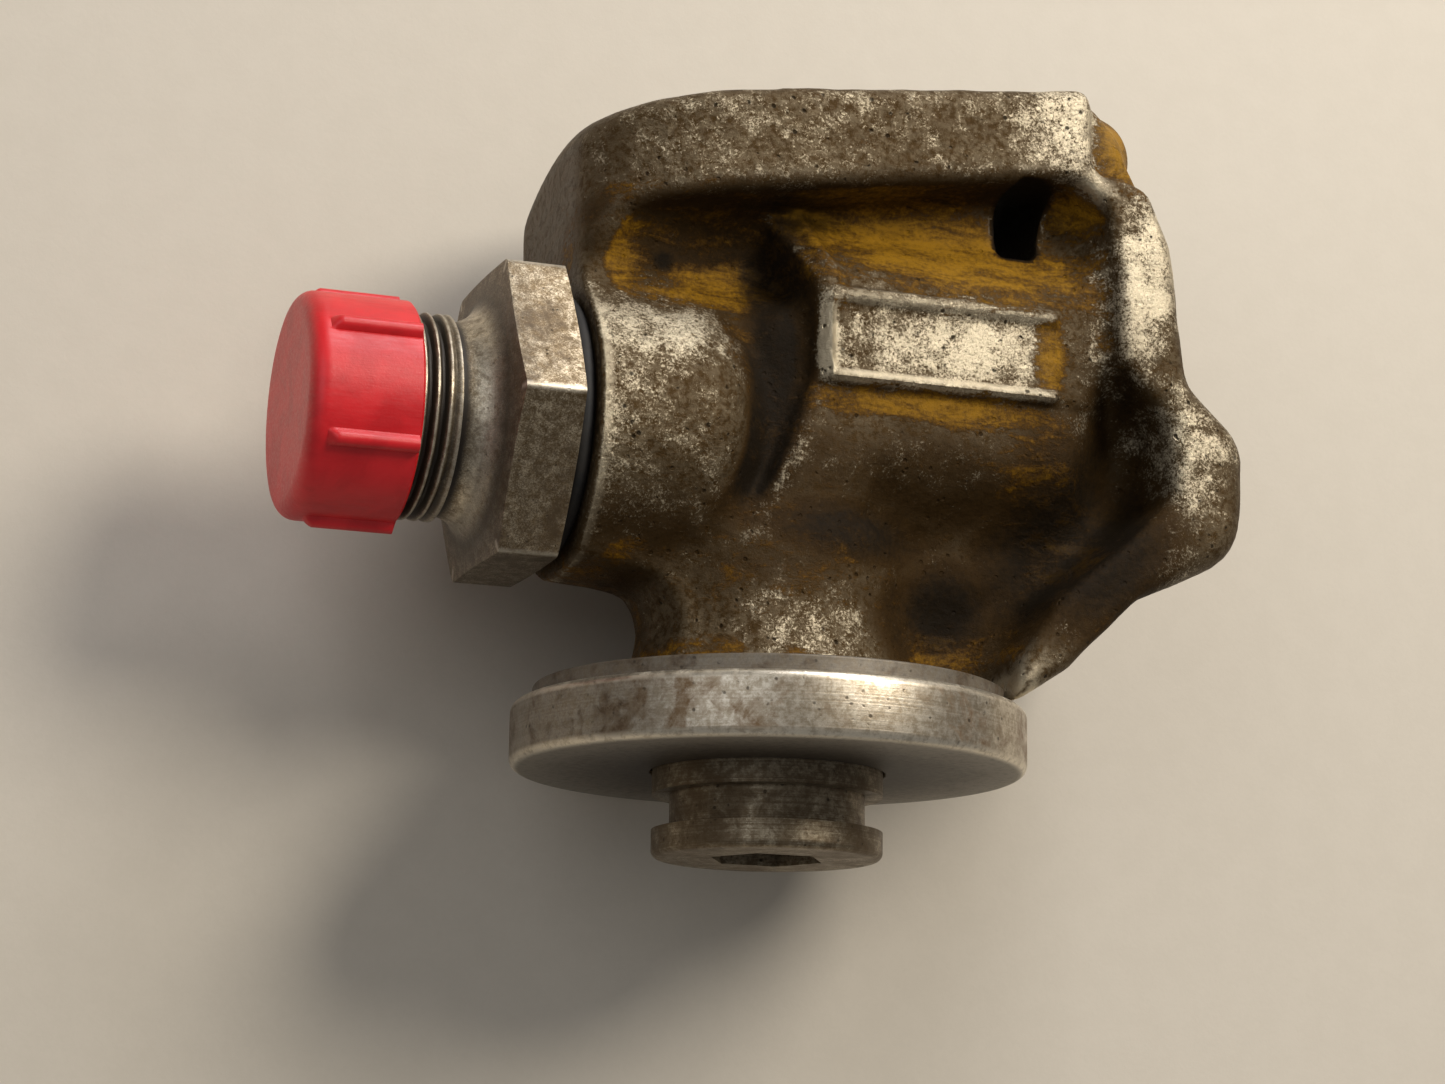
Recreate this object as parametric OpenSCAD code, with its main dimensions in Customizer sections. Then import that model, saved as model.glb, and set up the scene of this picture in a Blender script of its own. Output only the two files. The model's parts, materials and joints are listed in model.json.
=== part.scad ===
// Angle valve body with a screw-in relief cartridge, a hose port adapter and a dust cap.
// Frame: +Z up from the mounting pad's face, which is z = 0. The cartridge axis runs along Y with
// its nose at -Y, and the hose port's axis runs along X with its cap at -X. Both cross above the
// origin, at the height of the two axes.

/* [Flange] */
// Diameter of the flange
flange_d = 84; // [80:0.5:92]
// Thickness of the flange
flange_t = 10.5; // [8:0.5:14]
// Distance from the hose port's axis to the flange's outer face
flange_face = 53.8; // [52:0.2:60]
// Radius of the flange's edges
flange_edge = 1.6; // [0.5:0.1:3]
// Diameter of the turned step behind the flange
step_d = 77; // [72:0.5:79]
// Height of the turned step
step_h = 2.8; // [1.5:0.1:4]
// Gap between the flange's lowest edge and the resting face
stand_gap = 0.5; // [0.3:0.1:4]

/* [Forging] */
// Diameter of the neck round the cartridge
neck_d = 42.4; // [42:0.2:48]
// Diameter of the hose port's boss
boss_d = 48; // [47.6:0.2:54]
// Distance from the cartridge axis to the machined port face
port_face = 37.2; // [36.8:0.2:44]
// Height of the rim over the plane of the two axes, in front and behind
rim_h = 24; // [22.5:0.5:28]
// Height of the rim where it meets the port face
rim_low = 8.8; // [8:0.1:16]
// Distance from the cartridge axis to where the rim starts to fall towards the port face
rim_fall = 6; // [2:0.5:10]
// Thickness of the web between the front and back recesses
web_t = 14; // [12:0.5:20]
// Height of the rim's outer edge above the hose port's axis, at the cartridge axis
rim_top = 56.4; // [54:0.2:62]
// Rise of the rim's top edge, degrees
rim_rise = 7.5; // [4:0.5:10]
// Width of the rim along its top
rim_w = 16; // [12:0.5:18]
// Slope of the recess's walls, as inward run for each unit of depth
wall_slope = 0.13; // [0.05:0.01:0.13]
// Distance from the cartridge axis to the rim's right side
rim_right = 65.8; // [62:0.2:72]
// Width of the rim along its right side
side_w = 12.8; // [9:0.2:15]
// Distance from the cartridge axis to the tip of the lobe
lobe_reach = 77; // [75:0.5:84]
// Radius turned about the hose port's axis at the port face
turned_r = 49; // [46:0.5:54]
// Radius turned about the hose port's axis where the rim starts to fall
dome_r = 61.5; // [60.5:0.5:66]
// Height of the raised plateau over the axes' plane
plateau_h = 20.5; // [19:0.5:22]
// Radius of the forging round the cartridge's bore, between the neck and the boss
heart_r = 17.6; // [17:0.1:19]

/* [Plate and slot] */
// Length of the blank number plate on the plateau
plate_l = 37.2; // [30:0.2:40]
// Width of the blank number plate
plate_w = 14.2; // [10:0.2:16]
// Height of the plate's frame over the plateau
plate_rise = 1; // [0.5:0.1:2]
// Width of the plate's frame
plate_frame = 1.4; // [1:0.1:2.5]
// Width of the slot through the web
slot_w = 8; // [4:0.1:9]
// Length of the slot through the web
slot_l = 11.2; // [9.1:0.1:14]

/* [Mounting pad] */
// Length of the mounting pad along the hose port's axis
pad_l = 54; // [50:0.5:56]
// Width of the mounting pad across that axis
pad_w = 54; // [53:0.5:56]
// Distance that the pad reaches past the cartridge axis, towards the hose port
pad_reach = 8.5; // [8.3:0.1:12]
// Spacing of the pad's bolt holes across the hose port's axis
bolt_span = 40; // [39:0.2:42]
// Spacing of the pad's bolt holes along that axis
bolt_row = 26; // [25:0.2:28]
// Distance from the cartridge axis to the middle of the bolt holes
bolt_at = 24; // [24:0.1:25]
// Diameter of the pad's bolt holes, the tap drill for M10
bolt_hole_d = 8.5; // [6.6:0.1:9]
// Depth of the bolt holes
bolt_depth = 16; // [12:0.5:18]
// Diameter of the gallery port in the pad
gallery_d = 8; // [6:0.5:8.5]
// Distance of the gallery port from the hose port's axis, towards the flange
gallery_at = 12; // [11:0.2:12.4]
// Diameter of the drain port in the pad
drain_d = 6; // [4:0.5:6.5]
// Distance of the drain port from the hose port's axis, away from the flange
drain_at = 12; // [11.2:0.2:13]
// Section of the gallery port's O-ring
gallery_ring = 1.8; // [1.4:0.1:1.9]
// Section of the drain port's O-ring
drain_ring = 1.8; // [1.4:0.1:1.9]

/* [Cartridge] */
// Diameter of the cartridge's nose
nose_d = 37.5; // [36:0.1:38.5]
// Length of nose that shows between the flange and the groove
nose_land = 3.7; // [2.5:0.1:6]
// Width of the nose's groove
groove_w = 5.7; // [4:0.1:7]
// Depth of the nose's groove
groove_depth = 2.9; // [2:0.1:3.5]
// Length of the nose's end land
end_land = 4.5; // [3:0.1:7]
// Radius of the nose's end edge
nose_edge = 1.2; // [0.4:0.1:2]
// Size across flats of the hex socket
socket_af = 16.5; // [13:0.5:18]
// Depth of the hex socket
socket_depth = 9; // [5:0.5:10]
// Diameter of the cartridge's thread
cart_thread_d = 33; // [32:0.2:34]
// Diameter of the lower sealing land
lower_land_d = 30; // [29.4:0.1:31]
// Diameter of the upper sealing land
upper_land_d = 27; // [26.4:0.1:28]
// Diameter of the waist between the two lands
waist_d = 24; // [22.6:0.1:25]
// Diameter of the tail behind the upper land
tail_d = 23; // [22:0.1:24]
// Diameter of the bore that holds the poppet
poppet_bore = 18.1; // [17.5:0.1:18.6]
// Diameter of the oil way through the nose
way_d = 12; // [9:0.2:13]
// Distance from the hose port's axis to the poppet's seat
seat_at = 31; // [30.5:0.1:31.5]
// Diameter of each window in the cartridge's waist
window_d = 4.6; // [3:0.1:5]
// Number of windows
window_n = 6; // [4:1:8]

/* [Poppets and springs] */
// Opening stroke of the main poppet
main_lift = 5; // [3:0.1:5.4]
// Opening stroke of the pilot cone
pilot_lift = 1.5; // [0.8:0.1:1.8]
// Wire diameter of the main spring
main_wire = 1.4; // [1:0.1:1.6]
// Active turns of the main spring
main_turns = 7; // [5:1:9]
// Wire diameter of the pilot spring
pilot_wire = 1.1; // [0.8:0.1:1.2]
// Active turns of the pilot spring
pilot_turns = 4; // [3:1:5]
// Diameter of the pilot seat's hole
pilot_hole = 3.2; // [2:0.1:3.6]
// Thickness of each preload shim
shim_t = 0.5; // [0.3:0.1:0.6]
// Number of preload shims
shim_n = 2; // [1:1:2]

/* [Hose port adapter] */
// Size of the adapter's hexagon across flats
hex_af = 47.6; // [46:0.1:50]
// Thickness of the hexagon
hex_t = 10.5; // [8:0.1:13]
// Gap between the hexagon and the port face, filled by the O-ring
seal_gap = 2.9; // [2.4:0.1:3.4]
// Diameter of the stud in the body's port
stud_d = 41.2; // [40:0.1:41.6]
// Length of the stud behind the port face
stud_l = 14.6; // [12:0.1:15]
// Diameter of the hose thread
thread_d = 33.34; // [32:0.02:34.5]
// Distance from the hexagon to the start of the hose thread
flare_l = 6.4; // [4:0.1:9]
// Length of the hose thread
thread_l = 19; // [16:0.1:22]
// Length of the flared nose past the thread
nose_cone_l = 3.2; // [2:0.1:5]
// Diameter of the adapter's bore
adapter_bore = 22; // [18:0.2:23]

/* [Dust cap] */
// Wall thickness of the cap
cap_wall = 1.5; // [1.2:0.1:2.2]
// Thickness of the cap's closed end
cap_end = 1.8; // [1.2:0.1:3]
// Length of hose thread left bare by the cap
bare_thread = 6.7; // [4:0.1:9]
// Radius of the cap's closed edge
cap_edge = 1.6; // [0.6:0.1:2.4]
// Number of ribs on the cap
cap_ribs = 6; // [4:1:12]
// Width of each rib
rib_w = 1.7; // [1:0.1:2.5]
// Height of each rib
rib_h = 1.4; // [0.8:0.1:2]
// Distance from the closed end to where the ribs start
rib_start = 4.2; // [3:0.1:7]
// Turn of the ribs about the port's axis, degrees
rib_turn = 32; // [0:1:59]

/* [Fits] */
// Radial gap of a fixed fit
fit_gap = 0.05; // [0.03:0.01:0.09]
// Radial running gap of the poppet and of the cap
run_gap = 0.06; // [0.03:0.01:0.09]
// Room left round an O-ring in its groove
ring_gap = 0.05; // [0.03:0.01:0.1]

/* [Hidden] */
$fn = 96;
e = 0.01;
axis_h = flange_d / 2 + stand_gap;

// Distances outward along the cartridge axis, from the hose port's axis towards the nose
step_face = flange_face - flange_t - step_h;
shoulder_depth = 2.4;
shoulder_at = flange_face - shoulder_depth;
groove_at = flange_face + nose_land;
end_land_at = groove_at + groove_w;
nose_end = end_land_at + end_land;
thread_in = step_face - 2.5;
land_in = seat_at - 2.5;
ledge_at = seat_at + 5;
upper_at = 4;
upper_end = -7;
bore_end = -18.5;
tail_end = bore_end + 1.5;
ring_groove_w = 5;
lower_groove_at = land_in + 3;
upper_groove_at = upper_end + 2;
seal_space = 3.3;
backup_t = 1.4;
groove_cut = 2.15;
shoulder_ring = 1.8;
shoulder_ring_r = cart_thread_d / 2 + 0.75;

bore_r = poppet_bore / 2;
tight_r = bore_r - fit_gap;
poppet_r = bore_r - run_gap;
seat_gap = 0.15;
poppet_tip_r = 4;
poppet_tip = seat_at - seat_gap + way_d / 2 - poppet_tip_r;
poppet_skirt = poppet_tip - (poppet_r - poppet_tip_r);
poppet_back = 11;
pilot_seat_at = poppet_back - main_lift - 0.6;
pilot_seat_t = 4;
pilot_back = pilot_seat_at - pilot_seat_t;
poppet_nose_t = 4;
poppet_wall = 2.8;
poppet_floor = poppet_skirt - poppet_nose_t;
poppet_well_r = poppet_r - poppet_wall;
main_spring_l = poppet_floor - pilot_seat_at - 0.1;
poppet_ring_at = 14;
poppet_ring_w = 2;
poppet_ring_cut = 0.8;
window_back = 5.5;
window_at = seat_at - window_back;

cone_r = 3;
cone_tip_r = 0.4;
cone_tip = pilot_back + pilot_hole / 2 - 0.1 - cone_tip_r;
cone_base = cone_tip - (cone_r - cone_tip_r);
cone_body = 1.6;
cone_flange_r = 4.4;
cone_flange_t = 1.2;
cone_flange_at = cone_base - cone_body;
cone_back = cone_flange_at - cone_flange_t;
cone_pin_r = 1.7;
lock_t = 1.8;
adjuster_t = 2.8;
button_t = 1.2;
lock_at = tail_end;
adjuster_at = lock_at + lock_t;
shims_at = adjuster_at + adjuster_t;
shim_gap = 0.02;
button_at = shims_at + shim_n * shim_t;
cone_room = cone_back - button_at - button_t;
cone_pin_l = cone_room - pilot_lift - 0.2;
pilot_spring_l = cone_room - 0.1;
button_r = tight_r - 0.4;

// Distances outward along the hose port's axis, from the cartridge axis towards the cap
hex_in = port_face + seal_gap;
hex_out = hex_in + hex_t;
thread_at = hex_out + flare_l;
thread_end = thread_at + thread_l;
adapter_end = thread_end + nose_cone_l;
stud_in = port_face - stud_l;
port_floor = stud_in - 1.5;
neck_in_l = 1.2;
thread_r = thread_d / 2;
hex_r = hex_af / sqrt(3);
flare_r = thread_r - 1.1;
flare_base_r = hex_af / 2 - 2;
screen_room = 6;
screen_r = 14.4;
clip_cut = 1;
clip_t = 1.2;
cap_open = thread_at + bare_thread;
cap_in = adapter_end + 0.5;
cap_out = cap_in + cap_end;
cap_in_r = thread_r + run_gap;
cap_r = cap_in_r + cap_wall;
rib_len = cap_out - cap_open - rib_start;

// Heights from the axes' plane, and the places of the forging's features
top_slope = tan(rim_rise);
corner_x = rim_right - 16.3;
corner_y = rim_top + corner_x * top_slope;
left_y = rim_top - port_face * top_slope;
pocket_x = 3.5 - port_face;
web_z = web_t / 2;
fall_run = (port_face - rim_fall) / sqrt(1 - pow(rim_low / rim_h, 2));
fall_turn = asin((port_face - rim_fall) / fall_run);
pad_corner = 6;
ridge_x = 1;
plate_x = ridge_x + 1.7 + plate_l / 2;
plate_y = 15.1;
plate_sink = 0.7;
slot_x = 38.5;
slot_y = 39.4;
ring_margin = 0.4;
gallery_ring_r = gallery_d / 2 + gallery_ring / 2 + 1.6;
drain_ring_r = drain_d / 2 + drain_ring / 2 + 1.6;
bulge_r = 8;
notch_depth = 3.7;
heart_end = 23;

// A closed outline whose corners, each given as x, y and radius, are rounded by arcs
function unit(v) = v / norm(v);
function corner_arc(a, b, c) =
    let (p = [b[0], b[1]])
    let (u = unit([a[0], a[1]] - p))
    let (w = unit([c[0], c[1]] - p))
    let (half = acos(max(-1, min(1, u * w))) / 2)
    let (mid = p + unit(u + w) * b[2] / sin(half))
    let (from = p + u * b[2] / tan(half) - mid)
    let (start = atan2(from[1], from[0]))
    let (sense = u[0] * w[1] - u[1] * w[0] > 0 ? -1 : 1)
    let (turn = sense * (180 - 2 * half))
    let (steps = max(2, ceil(abs(turn) / 12)))
    [for (i = [0:steps]) mid + b[2] * [cos(start + turn * i / steps), sin(start + turn * i / steps)]];
function rounded(corners) =
    let (n = len(corners))
    [for (i = [0:n - 1])
        each corners[i][2] > 0
            ? corner_arc(corners[(i + n - 1) % n], corners[i], corners[(i + 1) % n])
            : [[corners[i][0], corners[i][1]]]];

// Outer edge of the forging in plan
outline = rounded([
    [-port_face, -20, 0],
    [-22, -24, 0],
    [-17, -30, 0],
    [-17, -step_face, 0],
    [31, -step_face, 1.5],
    [43.4, 3.9 - step_face, 7],
    [rim_right - 9.8, -24.2, 10],
    [lobe_reach - 1.5, -15.5, 8],
    [lobe_reach, 3.5, 7],
    [rim_right + 0.2, 14, 5],
    [rim_right - 2.2, 36.5, 22],
    [corner_x, corner_y, 6],
    [-port_face, left_y, 5]
]);

// Edge of the recess inside the rim
recess = rounded([
    [pocket_x, -step_face - 5, 0],
    [33, -step_face - 5, 0],
    [35.5, 5 - step_face, 3],
    [rim_right - 24, -25.5, 8],
    [lobe_reach - 13.5, -7, 8],
    [lobe_reach - 14.8, 6, 6],
    [rim_right - side_w + 0.2, 15.5, 6],
    [rim_right - side_w, 30, 20],
    [corner_x + 0.5, corner_y - rim_w, 8],
    [pocket_x + 4.5, left_y - rim_w + 1, 7],
    [pocket_x, 29, 4]
]);

// Edge of the plateau in plan
plateau_edge = rounded([
    [-5.5, 46, 0],
    [ridge_x, 24, 5],
    [ridge_x, 9, 8],
    [-6, -11, 0],
    [27, -16, 8],
    [rim_right - 20.8, -10, 12],
    [rim_right - 14.8, 10, 10],
    [rim_right - 7.8, 46, 0]
]);

// Plateau seen along the hose port's axis: a quarter ellipse down to the neck, a step to the
// plate and a slope down to the web
flank_y = 4;
flank_run = 19;
flank_step = 1.1;
plateau_side = concat(
    [[50, 0], [50, web_z]],
    [[50, plateau_h - 0.7 * (47.3 - plate_y - plate_w / 2)], [plate_y + plate_w / 2 + 2.7, plateau_h],
     [plate_y - plate_w / 2, plateau_h], [plate_y - plate_w / 2, plateau_h - flank_step]],
    [for (a = [0:15:75]) [flank_y - flank_run * sin(a), (plateau_h - flank_step) * cos(a)]],
    [[flank_y - flank_run, 0]]
);

// Plateau seen along the cartridge axis: flat to the plate's end, then a quarter ellipse
plateau_end = rim_right - 24.8;
end_run = 17;
plateau_front = concat(
    [[-12, 0], [-12, plateau_h]],
    [for (a = [0:15:90]) [plateau_end + end_run * sin(a), plateau_h * cos(a)]]
);

// Dome turned about the hose port's axis, as radius and distance from the cartridge axis
dome = concat(
    [[0, -port_face]],
    [for (t = [0:0.125:1])
        [dome_r - (dome_r - turned_r) * pow(1 - t, 2.3), t * (port_face - rim_fall) - port_face]],
    [[dome_r + lobe_reach, lobe_reach + 10], [0, lobe_reach + 10]]
);

// Each point of a closed outline moved inwards
function inset(points, by) =
    let (n = len(points))
    [for (i = [0:n - 1])
        let (along = unit(points[(i + 1) % n] - points[(i + n - 1) % n]))
        points[i] + by * [-along[1], along[0]]];

module turned(points) rotate_extrude() polygon(points);
module outward_y() translate([0, 0, axis_h]) rotate([90, 0, 0]) children();
module outward_x() translate([0, 0, axis_h]) rotate([0, -90, 0]) children();
module ring(outer_r, inner_r, from, to)
    turned([[inner_r, from], [outer_r, from], [outer_r, to], [inner_r, to]]);
module plug(r, from, to) translate([0, 0, from]) cylinder(r = r, h = to - from);
module o_ring(mid_r, section, at)
    rotate_extrude() translate([mid_r, at]) circle(d = section, $fn = 32);

// A round wire wound into a spring, as one closed skin of rings along the helix
module coil(mid_r, wire, height, turns) {
    around = 8;
    per_turn = 20;
    n = turns * per_turn;
    rise = height - wire;
    points = [
        for (i = [0:n])
            for (j = [0:around - 1])
                let (a = 360 * i / per_turn)
                let (r = mid_r + wire / 2 * cos(360 * j / around))
                [r * cos(a), r * sin(a), wire / 2 + rise * i / n + wire / 2 * sin(360 * j / around)]
    ];
    sides = [
        for (i = [0:n - 1])
            for (j = [0:around - 1])
                [i * around + j, (i + 1) * around + j,
                 (i + 1) * around + (j + 1) % around, i * around + (j + 1) % around]
    ];
    first = [for (j = [0:around - 1]) j];
    last = [for (j = [around - 1:-1:0]) n * around + j];
    polyhedron(points = points, faces = concat([first, last], sides), convexity = 10);
}

// The forging's flat block with its rim, web and recesses, about the axes' plane
module rim_block() {
    intersection() {
        difference() {
            translate([0, 0, -rim_h]) linear_extrude(2 * rim_h) polygon(outline);
            sloped_pocket();
            mirror([0, 0, 1]) sloped_pocket();
            rim_fall_cut();
            corner_notch();
        }
        rotate([0, 90, 0]) turned(dome);
    }
}

// The recess, whose outline moves inwards from the rim's top to the web
module sloped_pocket() {
    floor_edge = inset(recess, wall_slope * (rim_h - web_z));
    n = len(recess);
    points = [
        for (p = floor_edge) [p[0], p[1], web_z],
        for (p = inset(recess, -wall_slope)) [p[0], p[1], rim_h + 1]
    ];
    walls = [for (i = [0:n - 1]) [n + i, n + (i + 1) % n, (i + 1) % n, i]];
    polyhedron(
        points = points,
        faces = concat([[for (i = [0:n - 1]) i]], walls, [[for (i = [n - 1:-1:0]) n + i]]),
        convexity = 6
    );
}

// What lies over the rim's front where it falls in a quarter ellipse towards the port face
module rim_fall_cut()
    translate([0, 100, 0])
        rotate([90, 0, 0])
            linear_extrude(200)
                polygon(concat(
                    [for (i = [0:8])
                        [-rim_fall - fall_run * sin(fall_turn * i / 8), rim_h * cos(fall_turn * i / 8)]],
                    [[-port_face - 1, rim_low], [-port_face - 1, rim_h + 1], [-rim_fall, rim_h + 1]]
                ));

// The notch in the rim's front at its upper right corner
module corner_notch()
    translate([corner_x - 0.9, corner_y - 15.9, rim_h - notch_depth])
        cube([20, 20, notch_depth + 1]);

module plateau()
    intersection() {
        linear_extrude(plateau_h) polygon(plateau_edge);
        translate([-10, 0, 0])
            rotate([90, 0, 90])
                linear_extrude(rim_right + 6) polygon(plateau_side);
        translate([0, 50, 0])
            rotate([90, 0, 0])
                linear_extrude(100) polygon(plateau_front);
    }

module number_plate()
    translate([plate_x - plate_l / 2, plate_y - plate_w / 2, plateau_h - 2])
        difference() {
            cube([plate_l, plate_w, 2 + plate_rise]);
            translate([plate_frame, plate_frame, 2 + plate_rise - plate_sink])
                cube([plate_l - 2 * plate_frame, plate_w - 2 * plate_frame, plate_sink + 1]);
        }

// The flange, its step and the neck, turned about the cartridge axis
module flange_and_neck() {
    back = flange_face - flange_t;
    edge = [for (a = [0:15:90]) [sin(a), cos(a)] * flange_edge];
    front_edge = [for (p = edge)
        [flange_d / 2 - flange_edge + p[0], flange_face - flange_edge + p[1]]];
    back_edge = [for (i = [len(edge) - 1:-1:0])
        [flange_d / 2 - flange_edge + edge[i][0], back + flange_edge - edge[i][1]]];
    turned(concat(
        [[0, -22], [neck_d / 2, -22], [neck_d / 2, step_face], [step_d / 2, step_face],
         [step_d / 2, back]],
        [for (i = [len(back_edge) - 1:-1:0]) back_edge[i]],
        [for (i = [len(front_edge) - 1:-1:0]) front_edge[i]],
        [[0, flange_face]]
    ));
}

// The hose port's boss, whose inner end rounds down to the forging round the bores
module boss()
    turned([
        [0, -4], [heart_r - 1, -4], [heart_r - 1, 12.6], [boss_d / 2 - 3.2, 14.2],
        [boss_d / 2 - 1, 17.5], [boss_d / 2, 22], [boss_d / 2, port_face], [0, port_face]
    ]);

module body_bores() {
    // Cartridge bore, seal groove, shoulder counterbore
    outward_y() {
        plug(nose_d / 2 + 0.35, shoulder_at, flange_face + 1);
        plug(shoulder_ring_r + shoulder_ring / 2 + ring_gap, shoulder_at - shoulder_ring, shoulder_at);
        plug(cart_thread_d / 2 + fit_gap, thread_in, shoulder_at);
        plug(lower_land_d / 2 + fit_gap, upper_at, thread_in + e);
        plug(upper_land_d / 2 + fit_gap, bore_end, upper_at + e);
    }
    // Hose port and its two drillings into the gallery
    outward_x() {
        plug(stud_d / 2 + fit_gap, port_floor, port_face + 1);
    }
    for (z = [-5, 5])
        translate([-port_floor - 1, -8.5, axis_h + z])
            rotate([0, 90, 0])
                cylinder(d = 7, h = port_floor - 8);
    // Pad ports, their seal grooves and the bolt holes
    translate([0, -gallery_at, -1]) cylinder(d = gallery_d, h = axis_h - 10);
    translate([0, drain_at, -1]) cylinder(d = drain_d, h = axis_h - 10);
    face_groove(-gallery_at, gallery_ring_r, gallery_ring);
    face_groove(drain_at, drain_ring_r, drain_ring);
    for (x = [-0.5, 0.5], y = [-0.5, 0.5])
        translate([bolt_at + x * bolt_row, y * bolt_span, -1])
            cylinder(d = bolt_hole_d, h = bolt_depth + 1);
}

module face_groove(y, mid_r, section)
    translate([0, y, -1])
        difference() {
            cylinder(r = mid_r + section / 2 + ring_margin / 2, h = 1 + section + 0.15);
            translate([0, 0, -1])
                cylinder(r = mid_r - section / 2 - ring_margin / 2, h = 4 + section);
        }

module pad_block()
    linear_extrude(axis_h - web_z)
        polygon(rounded([
            [-pad_reach, -pad_w / 2, pad_corner], [pad_l - pad_reach, -pad_w / 2, pad_corner],
            [pad_l - pad_reach, pad_w / 2, pad_corner], [-pad_reach, pad_w / 2, pad_corner]
        ]));

module body()
    color("dimgray")
        difference() {
            union() {
                translate([0, 0, axis_h]) {
                    rim_block();
                    plateau();
                    number_plate();
                    translate([corner_x + 2, corner_y - 8.6, 10]) sphere(r = bulge_r);
                }
                outward_y() flange_and_neck();
                outward_y() plug(heart_r, -heart_end, heart_end);
                outward_x() boss();
                pad_block();
            }
            body_bores();
            translate([slot_x, slot_y, axis_h - rim_h]) {
                slot_run = (slot_l - slot_w) / 2;
                for (y = [-slot_run, slot_run])
                    translate([0, y, 0]) cylinder(d = slot_w, h = 2 * rim_h);
                translate([-slot_w / 2, -slot_run, 0]) cube([slot_w, 2 * slot_run, 2 * rim_h]);
            }
        }

// Cartridge: one turned barrel with its nose outside the flange
module cartridge_barrel() {
    nose_r = nose_d / 2;
    seal_r = lower_land_d / 2 - groove_cut;
    top_seal_r = upper_land_d / 2 - groove_cut;
    edge = [for (a = [0:15:90])
        [nose_r - nose_edge + nose_edge * cos(a), nose_end - nose_edge + nose_edge * sin(a)]];
    color("silver")
        outward_y()
            difference() {
                turned(concat(
                    [[bore_r, tail_end], [tail_d / 2, tail_end], [tail_d / 2, upper_end],
                     [upper_land_d / 2, upper_end], [upper_land_d / 2, upper_groove_at],
                     [top_seal_r, upper_groove_at], [top_seal_r, upper_groove_at + ring_groove_w],
                     [upper_land_d / 2, upper_groove_at + ring_groove_w],
                     [upper_land_d / 2, upper_at], [waist_d / 2, upper_at + 1],
                     [waist_d / 2, land_in], [lower_land_d / 2, land_in],
                     [lower_land_d / 2, lower_groove_at], [seal_r, lower_groove_at],
                     [seal_r, lower_groove_at + ring_groove_w],
                     [lower_land_d / 2, lower_groove_at + ring_groove_w],
                     [lower_land_d / 2, thread_in + 0.6], [cart_thread_d / 2, thread_in + 1.6],
                     [cart_thread_d / 2, shoulder_at - shoulder_ring - 0.4],
                     [cart_thread_d / 2 - 0.4, shoulder_at - shoulder_ring],
                     [cart_thread_d / 2 - 0.4, shoulder_at], [nose_r, shoulder_at],
                     [nose_r, groove_at], [nose_r - groove_depth, groove_at],
                     [nose_r - groove_depth, end_land_at], [nose_r, end_land_at]],
                    edge,
                    [[way_d / 2, nose_end], [way_d / 2, ledge_at], [bore_r, ledge_at]]
                ));
                translate([0, 0, nose_end - socket_depth])
                    cylinder(r = socket_af / sqrt(3), h = socket_depth + 1, $fn = 6);
                for (i = [0:window_n - 1])
                    rotate([0, 0, 360 * (i + 0.5) / window_n])
                        translate([0, 0, window_at])
                            rotate([0, 90, 0])
                                cylinder(d = window_d, h = lower_land_d);
                translate([0, 0, -10.5])
                    rotate([0, 90, 0])
                        cylinder(d = 2.6, h = tail_d);
            }
}

module shoulder_seal()
    color("black")
        outward_y()
            o_ring(shoulder_ring_r, shoulder_ring - 2 * ring_gap, shoulder_at - shoulder_ring / 2);

module lower_seal() land_seal(lower_land_d / 2, lower_groove_at);
module upper_seal() land_seal(upper_land_d / 2, upper_groove_at);
module lower_backup_ring() land_backup(lower_land_d / 2, lower_groove_at);
module upper_backup_ring() land_backup(upper_land_d / 2, upper_groove_at);

module land_seal(land_r, at) {
    section = groove_cut - ring_gap;
    color("black") outward_y() o_ring(land_r - groove_cut / 2, section, at + section / 2 + ring_gap);
}

module land_backup(land_r, at)
    color("white")
        outward_y()
            ring(land_r - ring_gap, land_r - groove_cut + ring_gap,
                 at + seal_space, at + seal_space + backup_t);

module main_seat()
    color("lightgray")
        outward_y()
            ring(tight_r, way_d / 2, seat_at, ledge_at);

module main_poppet()
    color("lightsteelblue")
        outward_y()
            turned([
                [0.8, poppet_tip], [poppet_tip_r, poppet_tip], [poppet_r, poppet_skirt],
                [poppet_r, poppet_ring_at + poppet_ring_w],
                [poppet_r - poppet_ring_cut, poppet_ring_at + poppet_ring_w],
                [poppet_r - poppet_ring_cut, poppet_ring_at], [poppet_r, poppet_ring_at],
                [poppet_r, poppet_back], [poppet_well_r, poppet_back],
                [poppet_well_r, poppet_floor], [0.8, poppet_floor]
            ]);

module poppet_ring()
    color("white")
        outward_y()
            ring(poppet_r, poppet_r - poppet_ring_cut + ring_gap,
                 poppet_ring_at + ring_gap, poppet_ring_at + poppet_ring_w - ring_gap);

module main_spring()
    color("gray")
        outward_y()
            translate([0, 0, pilot_seat_at + 0.05])
                coil(poppet_well_r - main_wire / 2 - 0.25, main_wire, main_spring_l, main_turns);

module pilot_seat()
    color("lightgray")
        outward_y()
            ring(tight_r, pilot_hole / 2, pilot_back, pilot_seat_at);

module pilot_cone()
    color("lightsteelblue")
        outward_y()
            turned([
                [0, cone_tip], [cone_tip_r, cone_tip], [cone_r, cone_base],
                [cone_r, cone_flange_at], [cone_flange_r, cone_flange_at],
                [cone_flange_r, cone_back], [cone_pin_r, cone_back],
                [cone_pin_r, cone_back - cone_pin_l], [0, cone_back - cone_pin_l]
            ]);

module pilot_spring()
    color("gray")
        outward_y()
            translate([0, 0, button_at + button_t + 0.05])
                coil(cone_flange_r - pilot_wire / 2 - 0.2, pilot_wire, pilot_spring_l, pilot_turns);

module spring_button()
    color("goldenrod")
        outward_y()
            ring(button_r, 1.2, button_at, button_at + button_t);

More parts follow.
